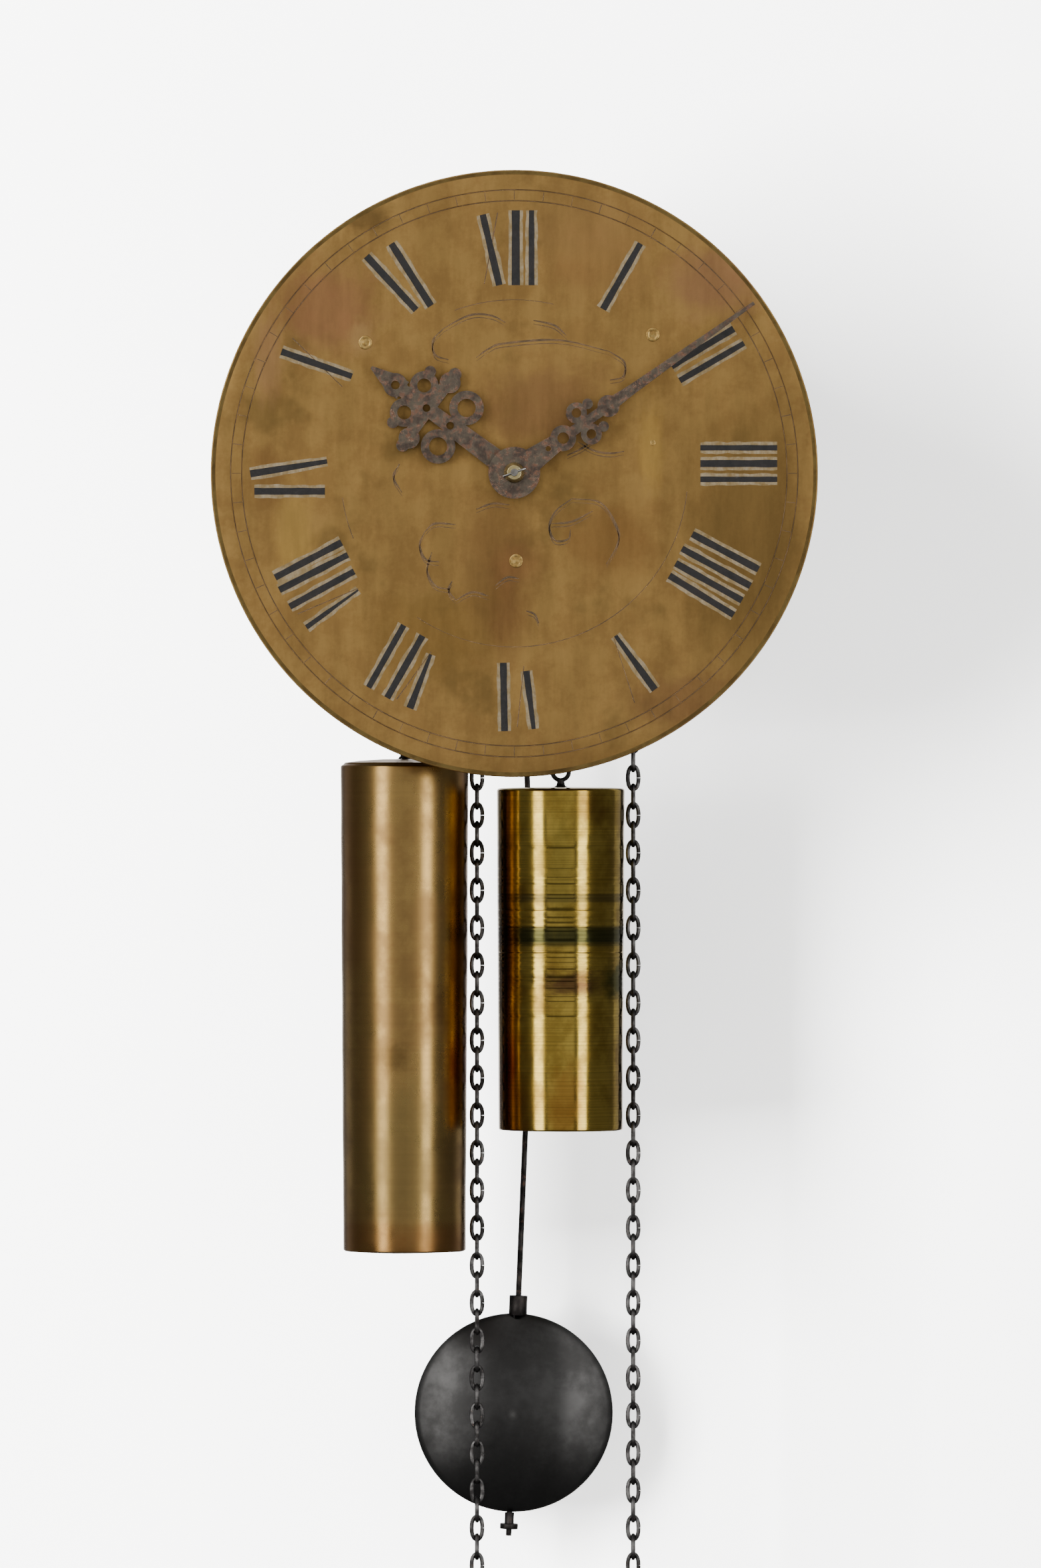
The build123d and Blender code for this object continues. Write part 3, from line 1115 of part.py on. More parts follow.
def make_motion_work():
    """Cannon pipe, minute wheel and hour wheel, which turn the hour hand once in twelve hours."""
    toward_minute = bearing_of(CENTRE, MINUTE)
    teeth = wheel_outline(CANNON_TEETH, CANNON_MODULE, toward_minute)
    cannon = slab(teeth, CENTRE, CANNON_WHEEL_Y, WHEEL_THICKNESS)
    cannon += round_bar(CENTRE, CANNON_WHEEL_Y, MINUTE_HAND_Y - HAND_THICKNESS, CANNON_RADIUS)
    cannon -= round_bar(CENTRE, CANNON_WHEEL_Y + OVERRUN, ARBOR_FRONT, CENTRE_FRONT_RADIUS + PRESS)
    keep("cannon_pipe", cannon)
    back_mesh = bearing_of(MINUTE, CENTRE)
    wheel = wheel_outline(CANNON_TEETH, CANNON_MODULE, back_mesh + 180 / CANNON_TEETH)
    middle = HOUR_WHEEL_Y - WHEEL_THICKNESS / 2
    minute = slab(wheel, MINUTE, CANNON_WHEEL_Y, WHEEL_THICKNESS)
    pinion = pinion_outline(MINUTE_LEAVES, HOUR_MODULE, back_mesh)
    length = CANNON_WHEEL_Y - middle + MINUTE_PINION_OVERLAP
    minute += slab(pinion, MINUTE, CANNON_WHEEL_Y, length)
    post_end = middle - MINUTE_POST_REACH
    bore = MINUTE_POST_RADIUS + PIVOT_CLEARANCE
    minute -= round_bar(MINUTE, CANNON_WHEEL_Y + OVERRUN, post_end - OVERRUN, bore)
    pin_place = towards(MINUTE, LIFTING_PIN_BEARING, LIFTING_PIN_CIRCLE)
    pin_front = CANNON_WHEEL_Y - LIFTING_PIN_REACH
    minute += round_bar(pin_place, CANNON_WHEEL_Y - WHEEL_THICKNESS, pin_front, HAMMER_PIN_RADIUS)
    keep("minute_wheel", minute)
    post = round_bar(MINUTE, FRONT_PLATE_REAR, post_end, MINUTE_POST_RADIUS)
    post += round_bar(MINUTE, FRONT_PLATE_FRONT, CANNON_WHEEL_Y + SEAT_GAP, MINUTE_POST_FOOT)
    hour = crossed_wheel(
        HOUR_TEETH, HOUR_MODULE, toward_minute, WHEEL_THICKNESS, CENTRE, HOUR_WHEEL_Y,
        BRIDGE_PIPE_RADIUS + PIVOT_CLEARANCE, hub=HOUR_HUB_RADIUS, spokes=3,
    )
    pipe = Circle(HOUR_PIPE_RADIUS) - Circle(BRIDGE_PIPE_RADIUS + PIVOT_CLEARANCE)
    hour += slab(pipe, CENTRE, HOUR_WHEEL_Y, HOUR_WHEEL_Y - HOUR_HAND_Y + HAND_THICKNESS)
    keep("hour_wheel", hour)
    return post


def make_bridge():
    """The bridge over the cannon wheel, whose pipe carries the hour wheel, and its screws."""
    corner = BRIDGE_WIDTH / 2 - PIN_GAP
    span = RectangleRounded(BRIDGE_WIDTH, 2 * BRIDGE_REACH + BRIDGE_WIDTH, corner)
    bridge = slab(turned_to(span, 45.0), CENTRE, BRIDGE_REAR, BRIDGE_THICKNESS)
    front = BRIDGE_REAR - BRIDGE_THICKNESS
    for point in BRIDGE_FEET:
        bridge += round_bar(point, FRONT_PLATE_FRONT, BRIDGE_REAR, BRIDGE_FOOT_RADIUS)
        bridge -= round_bar(point, FRONT_PLATE_FRONT + OVERRUN, front - OVERRUN, SCREW_RADIUS + PRESS)
    pipe_front = HOUR_HAND_Y - HAND_THICKNESS - BRIDGE_PIPE_STANDS
    bridge += round_bar(CENTRE, BRIDGE_REAR, pipe_front, BRIDGE_PIPE_RADIUS)
    bore_front = HOUR_HAND_Y - BRIDGE_BORE_STOPS
    bridge -= round_bar(CENTRE, BRIDGE_REAR + OVERRUN, bore_front, CANNON_RADIUS + PIVOT_CLEARANCE)
    keep("hour_bridge", bridge)


def make_screws():
    """The frame's screws: hoop, cock and bell stand behind the back plate, and the bridge in front."""
    seat = BACK_PLATE_REAR + STRAP_THICKNESS
    depth = STRAP_THICKNESS + PLATE_THICKNESS
    screws = [screw(p, seat, depth) for p in HOOP_SCREWS + COCK_SCREWS + STAND_SCREWS]
    seat = BRIDGE_REAR - BRIDGE_THICKNESS
    screws += [screw(p, seat, FRONT_PLATE_REAR - seat, towards_wall=False) for p in BRIDGE_FEET]
    keep("frame_screws", *screws)


def pierced(body, rounds):
    """Add discs to a hand's pattern, on both sides of it, each (across, along, radius, hole radius)."""
    for across, along, radius, hole in rounds:
        for x in {across, -across}:
            body += Pos(x, along) * Circle(radius)
    for across, along, radius, hole in rounds:
        for x in {across, -across}:
            if hole:
                body -= Pos(x, along) * Circle(hole)
    return body


def hour_hand_outline():
    """The hour hand, pointing up: a stem, two pairs of pierced scrolls, and a leaf at the tip."""
    length = 74.3
    body = polygon([(-4.4, 8.0), (4.4, 8.0), (3.9, 30.0), (-3.9, 30.0)])
    body += polygon([(-3.4, 26.0), (3.4, 26.0), (2.8, 58.0), (-2.8, 58.0)])
    body += polygon([(-18.0, 42.2), (18.0, 42.2), (18.0, 46.4), (5.0, 48.2), (-5.0, 48.2), (-18.0, 46.4)])
    body += polygon([(-4.4, 58.0), (4.4, 58.0), (4.0, 64.0), (0.6, length), (-0.6, length), (-4.0, 64.0)])
    body = pierced(body, (
        (10.0, 32.2, 7.2, 3.8), (14.4, 44.0, 4.4, 0.0), (18.4, 44.4, 2.7, 0.0), (7.0, 52.0, 6.0, 2.9),
        (13.2, 53.4, 2.4, 0.0), (0.0, 61.8, 5.0, 1.8),
    ))
    for along in (33.3, 45.6):
        body -= Pos(0, along) * Circle(1.6)
    return scale(body, by=HOUR_HAND_LENGTH / length) + Circle(HOUR_HAND_HUB)


def minute_hand_outline():
    """The minute hand, pointing up: pierced scrolls and a knot near the hub, then a long blade."""
    length = 122.6
    body = polygon([(-5.0, 9.0), (5.0, 9.0), (3.6, 22.0), (-3.6, 22.0)])
    body += polygon([(-2.2, 19.0), (2.2, 19.0), (2.0, 48.0), (-2.0, 48.0)])
    body += polygon([(-2.9, 47.0), (2.9, 47.0), (2.1, 60.0), (0.7, length), (-0.7, length), (-2.1, 60.0)])
    body = pierced(body, (
        (0.0, 25.0, 5.4, 2.4), (5.4, 35.6, 4.4, 2.0), (5.8, 41.6, 2.2, 0.0), (0.0, 48.2, 4.6, 0.0),
        (0.0, 17.4, 3.0, 1.1),
    ))
    return scale(body, by=MINUTE_HAND_LENGTH / length) + Circle(MINUTE_HAND_HUB)


def make_hands():
    """Hour hand, minute hand, and the brass collet that the hand pin bears on."""
    hour = turned_to(hour_hand_outline() - Circle(HOUR_PIPE_RADIUS + PRESS), HOUR_HAND_BEARING)
    keep("hour_hand", slab(hour, CENTRE, HOUR_HAND_Y, HAND_THICKNESS))
    minute = turned_to(minute_hand_outline() - Circle(CANNON_RADIUS + PRESS), MINUTE_HAND_BEARING)
    keep("minute_hand", slab(minute, CENTRE, MINUTE_HAND_Y, HAND_THICKNESS))
    rear = MINUTE_HAND_Y - HAND_THICKNESS
    front = HAND_PIN_Y + HAND_PIN_RADIUS + PRESS
    bore = CENTRE_FRONT_RADIUS + PRESS
    brim = rear - HAND_COLLET_BRIM
    profile = [
        (bore, rear),
        (HAND_COLLET_RADIUS, rear),
        (HAND_COLLET_RADIUS, brim),
        (HAND_COLLET_TOP_RADIUS, front),
        (bore, front),
    ]
    keep("hand_collet", level_turning(profile, CENTRE))


def make_strike_train():
    """Pin wheel, locking wheel, warning wheel and fly, each on its arbor."""
    strike_middle = STRIKE_WHEEL_Y - GREAT_WHEEL_THICKNESS / 2
    pin_middle = PIN_WHEEL_Y - WHEEL_THICKNESS / 2
    locking_middle = LOCKING_WHEEL_Y - WHEEL_THICKNESS / 2
    train = (
        (
            "pin", PIN, PIN_LEAVES, STRIKE_MODULE, STRIKE_GREAT, strike_middle,
            PIN_TEETH, PIN_MODULE, LOCKING, PIN_WHEEL_Y,
        ),
        (
            "locking", LOCKING, LOCKING_LEAVES, PIN_MODULE, PIN, pin_middle,
            LOCKING_TEETH, LOCKING_MODULE, WARNING, LOCKING_WHEEL_Y,
        ),
        (
            "warning", WARNING, WARNING_LEAVES, LOCKING_MODULE, LOCKING, locking_middle,
            WARNING_TEETH, WARNING_MODULE, FLY, WARNING_WHEEL_Y,
        ),
    )
    for name, place, leaves, leaf_module, driver, pinion_middle, teeth, module, driven, wheel_y in train:
        shaft = shaft_radius(leaves, leaf_module)
        tooth = bearing_of(place, driven)
        wheel = crossed_wheel(teeth, module, tooth, WHEEL_THICKNESS, place, wheel_y, shaft + PRESS)
        if name == "pin":
            for index in range(HAMMER_PIN_COUNT):
                spot = towards(place, 360 * index / HAMMER_PIN_COUNT, HAMMER_PIN_CIRCLE)
                wheel += round_bar(spot, wheel_y + HAMMER_PIN_REACH, wheel_y, HAMMER_PIN_RADIUS)
        pinion = pinion_outline(leaves, leaf_module, bearing_of(place, driver))
        spindle = arbor(place, shaft, wheel_y, pinion, pinion_middle, TRAIN_PINION_LENGTH)
        if name == "warning":
            keep(name + "_wheel", wheel, spindle)
        else:
            keep(name + "_wheel", wheel)
            keep(name + "_arbor", spindle)
    shaft = shaft_radius(FLY_LEAVES, WARNING_MODULE)
    pinion = pinion_outline(FLY_LEAVES, WARNING_MODULE, bearing_of(FLY, WARNING))
    fly_rear = FLY_FRONT + FLY_LENGTH
    warning_middle = WARNING_WHEEL_Y - WHEEL_THICKNESS / 2
    body = arbor(FLY, shaft, fly_rear, pinion, warning_middle, TRAIN_PINION_LENGTH)
    pipe = Circle(shaft + FLY_PIPE_WALL)
    vane = Rectangle(2 * FLY_RADIUS, FLY_VANE_THICKNESS) + pipe - Circle(shaft + PRESS)
    keep("fly", body, slab(turned_to(vane, FLY_VANE_BEARING), FLY, fly_rear, FLY_LENGTH))


def make_hammer():
    """The hammer: an arbor with a tail by the pin wheel and a stem up to its head beside the bell."""
    shoulders = (BACK_PLATE_FRONT - SEAT_GAP, FRONT_PLATE_REAR + SEAT_GAP)
    body = round_bar(HAMMER, *shoulders, ARBOR_RADIUS)
    body += round_bar(HAMMER, BACK_PLATE_REAR, FRONT_PLATE_FRONT, PIVOT_RADIUS)
    beyond = HAMMER_BOSS_BEYOND
    body += round_bar(HAMMER, HAMMER_Y + beyond, HAMMER_STEM_Y - beyond, HAMMER_BOSS_RADIUS)
    root = HAMMER_TAIL_ROOT
    tip = HAMMER_TAIL_TIP
    tail = polygon([(-root, 0), (root, 0), (tip, HAMMER_TAIL), (-tip, HAMMER_TAIL)])
    tail = turned_to(tail, bearing_of(HAMMER, PIN))
    body += slab(tail, HAMMER, HAMMER_Y + HAMMER_TAIL_THICKNESS / 2, HAMMER_TAIL_THICKNESS)
    head_place = (HAMMER_HEAD_X, HAMMER_STEM_Y, HAMMER_HEAD_Z)
    body += bar_between((HAMMER[0], HAMMER_STEM_Y, HAMMER[1]), head_place, HAMMER_STEM_RADIUS)
    half = HAMMER_HEAD_HALF_LENGTH
    ends = [(HAMMER_HEAD_X + side * half, HAMMER_STEM_Y, HAMMER_HEAD_Z) for side in (-1, 1)]
    keep("hammer", body + bar_between(*ends, HAMMER_HEAD_RADIUS))


def arm(start, end, wide, narrow, rear_y, thickness):
    """A flat tapering arm from one point to another."""
    long = math.dist(start, end)
    outline = polygon([(-wide, 0), (wide, 0), (narrow, long), (-narrow, long)])
    outline = turned_to(outline, bearing_of(start, end))
    return slab(outline, start, rear_y, thickness)


def make_detent():
    """One arbor with three arms: to the minute wheel's pin, the locking wheel and the count wheel."""
    rear_end = COUNT_WHEEL_Y + DETENT_PAST_COUNT_WHEEL
    front_end = CANNON_WHEEL_Y - DETENT_PAST_CANNON
    body = round_bar(DETENT, rear_end, front_end, DETENT_SHAFT)
    root = DETENT_ARM_ROOT
    tip = DETENT_ARM_TIP
    lifted = COUNT_WHEEL_RADIUS + 2 * SEAT_GAP + 1.2 * tip
    feeler = towards(COUNT, bearing_of(COUNT, DETENT) + DETENT_FEELER_LEAD, lifted)
    body += arm(DETENT, feeler, root, tip, COUNT_WHEEL_Y, WHEEL_THICKNESS)
    wheel_tip = LOCKING_TEETH * LOCKING_MODULE / 2 + WHEEL_ADDENDUM * LOCKING_MODULE
    catch = towards(LOCKING, bearing_of(LOCKING, DETENT), wheel_tip + 3 * SEAT_GAP)
    body += arm(DETENT, catch, root, tip, LOCKING_WHEEL_Y, WHEEL_THICKNESS)
    clear_of_pin = LIFTING_PIN_CIRCLE + HAMMER_PIN_RADIUS + 2 * SEAT_GAP
    lifter = towards(MINUTE, bearing_of(MINUTE, DETENT), clear_of_pin)
    lifter_rear = CANNON_WHEEL_Y - WHEEL_THICKNESS - PIVOT_CLEARANCE * 20
    body += arm(DETENT, lifter, root, 1.2 * tip, lifter_rear, WHEEL_THICKNESS)
    keep("strike_detent", body)


# Weights and chains
def make_weight(name, centre_x, hang_z, length, eye_length, stem, dome):
    """A turned brass weight with its iron eye, hung from the last link of its chain."""
    top = hang_z + LINK_SLACK / 2
    eye_middle = top - eye_length / 2
    eye = long_link(EYE_WIDTH - 2 * EYE_WIRE, eye_length, EYE_WIRE, EYE_CUT)
    eye = Location((centre_x, CHAIN_Y, eye_middle)) * eye
    eye_bottom = top - eye_length - EYE_WIRE
    weight_top = eye_bottom - stem
    stem_end = (centre_x, CHAIN_Y, eye_bottom + EYE_STEM_SUNK)
    stem_bar = bar_between((centre_x, CHAIN_Y, weight_top), stem_end, EYE_STEM_RADIUS)
    radius = WEIGHT_DIAMETER / 2
    bottom_radius = radius - WEIGHT_TAPER * length / STRIKE_WEIGHT_LENGTH
    shoulder = weight_top - dome
    profile = [
        (0, weight_top),
        (radius * 0.62, weight_top - 0.15 * dome),
        (radius - 1.4, shoulder + 0.35 * dome),
        (radius, shoulder - WEIGHT_EDGE),
        (bottom_radius, shoulder - length + WEIGHT_EDGE),
        (bottom_radius - WEIGHT_EDGE, shoulder - length),
        (0, shoulder - length),
    ]
    keep(name, upright_turning(profile, centre_x, CHAIN_Y))
    return eye + stem_bar


def make_weights():
    """The going weight on the right and the longer striking weight on the left; their eyes."""
    going_z = SPROCKET_Z - GOING_STRAND_LINKS * LINK_PITCH
    going_eye = make_weight(
        "going_weight", GOING_X - SPROCKET_RADIUS, going_z, GOING_WEIGHT_LENGTH, GOING_EYE_LENGTH,
        EYE_STEM, GOING_WEIGHT_DOME,
    )
    strike_z = SPROCKET_Z - STRIKE_STRAND_LINKS * LINK_PITCH
    strike_eye = make_weight(
        "strike_weight", STRIKE_X - SPROCKET_RADIUS, strike_z, STRIKE_WEIGHT_LENGTH, STRIKE_EYE_LENGTH,
        2 * EYE_STEM, STRIKE_WEIGHT_DOME,
    )
    return going_eye, strike_eye


def make_chains(going_eye, strike_eye):
    """Both chains, in three stretches each: to the weight, over the chain wheel, and hanging free."""
    keep("chains_over_wheels", *wrap(GOING_GREAT), *wrap(STRIKE_GREAT))
    runs = (
        ("going", GOING_GREAT, GOING_STRAND_LINKS, going_eye),
        ("strike", STRIKE_GREAT, STRIKE_STRAND_LINKS, strike_eye),
    )
    for side, centre, count, eye in runs:
        weight_x = centre[0] - SPROCKET_RADIUS
        free_x = centre[0] + SPROCKET_RADIUS
        keep(side + "_weight_chain", *strand(weight_x, SPROCKET_Z, count, False), eye)
        end_z = SPROCKET_Z - LINK_PITCH * FREE_CHAIN_LINKS + LINK_SLACK / 2
        ring_z = end_z - END_RING_RADIUS + END_RING_WIRE / 2
        ring = Location((free_x, CHAIN_Y, ring_z)) * round_loop(END_RING_RADIUS, END_RING_WIRE)
        keep(side + "_free_chain", *strand(free_x, SPROCKET_Z, FREE_CHAIN_LINKS, True), ring)


make_plates()
keep("taper_pins", *make_pillars(), *make_dial())
make_hoop()
make_spikes()
make_bell()
make_back_cock()
make_anchor()
make_escape()
make_pendulum()
make_bob()
make_going_great()
make_strike_great()
keep("wheel_posts", make_count_wheel(), make_motion_work())
make_centre()
make_bridge()
make_screws()
make_hands()
make_strike_train()
make_hammer()
make_detent()
make_chains(*make_weights())

os.makedirs("parts", exist_ok=True)
for name, piece in nodes.items():
    export_step(Location((0, 0, -HOOP_ABOVE_DIAL)) * piece, "parts/" + name + ".step")
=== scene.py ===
"""Hook and spike wall clock: the finish and fine form of every piece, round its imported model.

Lengths are millimetres in the clock's own frame until a mesh is made: X to the right of the dial,
Y back into the wall, Z up. The wall is the plane y = 0.
"""

import logging
import math
from collections.abc import Iterable, Sequence
from dataclasses import dataclass
from enum import Enum

import bmesh
import bpy
from mathutils import Matrix, Vector, noise


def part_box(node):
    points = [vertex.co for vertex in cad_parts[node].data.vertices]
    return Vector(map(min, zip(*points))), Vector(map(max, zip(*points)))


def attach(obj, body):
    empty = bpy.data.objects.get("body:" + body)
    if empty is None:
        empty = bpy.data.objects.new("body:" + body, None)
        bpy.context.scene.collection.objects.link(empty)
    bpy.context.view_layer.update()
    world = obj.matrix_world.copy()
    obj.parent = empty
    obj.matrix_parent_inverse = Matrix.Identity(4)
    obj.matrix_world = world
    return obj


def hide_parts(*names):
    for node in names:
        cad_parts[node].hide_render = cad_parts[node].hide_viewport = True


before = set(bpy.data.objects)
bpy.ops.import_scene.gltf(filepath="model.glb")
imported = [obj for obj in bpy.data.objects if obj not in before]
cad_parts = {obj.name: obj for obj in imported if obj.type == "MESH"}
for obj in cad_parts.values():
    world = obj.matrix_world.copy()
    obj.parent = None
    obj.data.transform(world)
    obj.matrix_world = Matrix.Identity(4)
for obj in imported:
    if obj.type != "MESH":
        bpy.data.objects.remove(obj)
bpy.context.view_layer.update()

LOG = logging.getLogger("wall_clock")
METRES = 0.001
SEAM = 1e-6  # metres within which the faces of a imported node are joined
CORNER = 35.0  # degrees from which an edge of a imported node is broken
Point = Sequence[float]
Pair = tuple[float, float]
Socket = bpy.types.NodeSocket
Values = dict[str | int, object]


def add_node(tree: bpy.types.NodeTree, kind: str, values: Values | None = None) -> bpy.types.Node:
    """Add one shader node, with its settings and its links.

    Args:
        tree: the node tree that it goes in.
        kind: Blender's name for the kind of node, after "ShaderNode".
        values: its own properties by name, and for its inputs, by name or number, a value or the
            output that feeds it.

    Returns:
        The new node.
    """
    node = tree.nodes.new("ShaderNode" + kind)
    for name, value in (values or {}).items():
        if isinstance(value, Socket):
            tree.links.new(value, node.inputs[name])
        elif isinstance(name, str) and hasattr(node, name):
            setattr(node, name, value)
        else:
            node.inputs[name].default_value = value
    return node


def to_linear(colour: str) -> tuple[float, float, float, float]:
    """Turn an sRGB colour into a linear one.

    Args:
        colour: the colour as a hash and six hex digits.

    Returns:
        Linear red, green, blue and alpha.
    """
    parts =[int(colour[i : i + 2], 16) / 255 for i in (1, 3, 5)]
    red, green, blue = (c / 12.92 if c <= 0.04045 else ((c + 0.055) / 1.055) ** 2.4 for c in parts)
    return (red, green, blue, 1.0)


class Shading:
    """A material while its nodes are laid, with its coordinates in millimetres from a centre."""

    # The numbers of the mix node's colour sockets, which share their names with its others.
    MIX_A, MIX_B, MIX_RESULT = 6, 7, 2
    CLOUD_ROUGHNESS = 0.62

    def __init__(self, name: str, centre: Point) -> None:
        """Start the material with its coordinates alone.

        Args:
            name: its name.
            centre: the point of the clock that its pattern is laid out from.
        """
        self.made = bpy.data.materials.new(name)
        self.made.use_nodes = True
        self.tree = self.made.node_tree
        self.tree.nodes.clear()
        source = self.add("TexCoord").outputs["Object"]
        offset = tuple(-c for c in centre)
        mapped = self.add("Mapping", {"Scale": (1 / METRES,) * 3, "Location": offset, "Vector": source})
        self.place = mapped.outputs["Vector"]

    def add(self, kind: str, values: Values | None = None) -> bpy.types.Node:
        """Add one node to the material."""
        return add_node(self.tree, kind, values)

    def patches(self, size: float, edges: Pair, detail: float = 6.0, place: Socket | None = None) -> Socket:
        """Lay a mask of soft-edged patches.

        Args:
            size: how far apart the patches are, in millimetres.
            edges: the noise values where a patch starts and where it is full.
            detail: how broken the edges are.
            place: coordinates, if they aren't the material's own.

        Returns:
            The output of the mask, from 0 to 1.
        """
        where = self.place if place is None else place
        values = {"Scale": 1 / size, "Detail": detail, "Roughness": self.CLOUD_ROUGHNESS, "Vector": where}
        cloud = self.add("TexNoise", values).outputs[0]
        values = {"From Min": edges[0], "From Max": edges[1], "Value": cloud}
        return self.add("MapRange", {"interpolation_type": "SMOOTHSTEP"} | values).outputs[0]

    def coat(self, ground: Socket | str, *coats: tuple[Socket, Socket | str]) -> Socket:
        """Lay colours over a ground, one after another, each through its own mask.

        Args:
            ground: the lowest colour, as an output or a hex value.
            coats: for each colour the output that says how much of it shows, and the colour.

        Returns:
            The output of the colour that is seen.
        """
        seen = to_linear(ground) if isinstance(ground, str) else ground
        for mask, over in coats:
            laid = to_linear(over) if isinstance(over, str) else over
            values = {"data_type": "RGBA", 0: mask, self.MIX_A: seen, self.MIX_B: laid}
            seen = self.add("Mix", values).outputs[self.MIX_RESULT]
        return seen

    def close(self, shader: bpy.types.Node) -> bpy.types.Material:
        """Join the shader to the material's output."""
        self.add("OutputMaterial", {"Surface": shader.outputs[0]})
        return self.made


class Marks(Enum):
    """What the last tool left on a metal surface."""

    FILED = "straight strokes"
    TURNED = "rings round an axis"
    HAMMERED = "overlapping facets"


@dataclass(frozen=True)
class Finish:
    """What every surface has: colours, the spread of its patches, and its roughness, clean and dull."""

    name: str
    clean: str
    dull: str
    deep: str
    patch: float = 14.0
    rough: Pair = (0.3, 0.5)


@dataclass(frozen=True)
class ColourPatch:
    """A patch of colour with a ragged edge, for stains and for painted edge shade: where it is, its half
    sizes (0 for no end), its colour and strength.
    """

    at: Point
    reach: Point
    colour: str
    strength: float

    def mask(self, net: Shading) -> Socket:
        """Lay the patch's mask.

        Args:
            net: the material that it goes in.

        Returns:
            The output of the mask, from 0 to the patch's strength.
        """
        offset = net.add("VectorMath", {"operation": "SUBTRACT", 0: net.place, 1: self.at}).outputs[0]
        shares = tuple(1 / r if r else 0.0 for r in self.reach)
        unit = net.add("VectorMath", {"operation": "MULTIPLY", 0: offset, 1: shares}).outputs[0]
        values = {"Scale": 2.4, "Detail": 5.0, "Roughness": 0.6, "Vector": unit}
        ragged = net.add("TexNoise", values).outputs["Color"]
        shift = net.add("VectorMath", {"operation": "SUBTRACT", 0: ragged, 1: (0.5, 0.5, 0.5)}).outputs[0]
        spot = net.add("VectorMath", {"operation": "ADD", 0: unit, 1: shift}).outputs[0]
        away = net.add("VectorMath", {"operation": "LENGTH", 0: spot}).outputs["Value"]
        values = {"From Min": 0.25, "To Min": self.strength, "To Max": 0.0, "Value": away}
        return net.add("MapRange", {"interpolation_type": "SMOOTHSTEP"} | values).outputs[0]


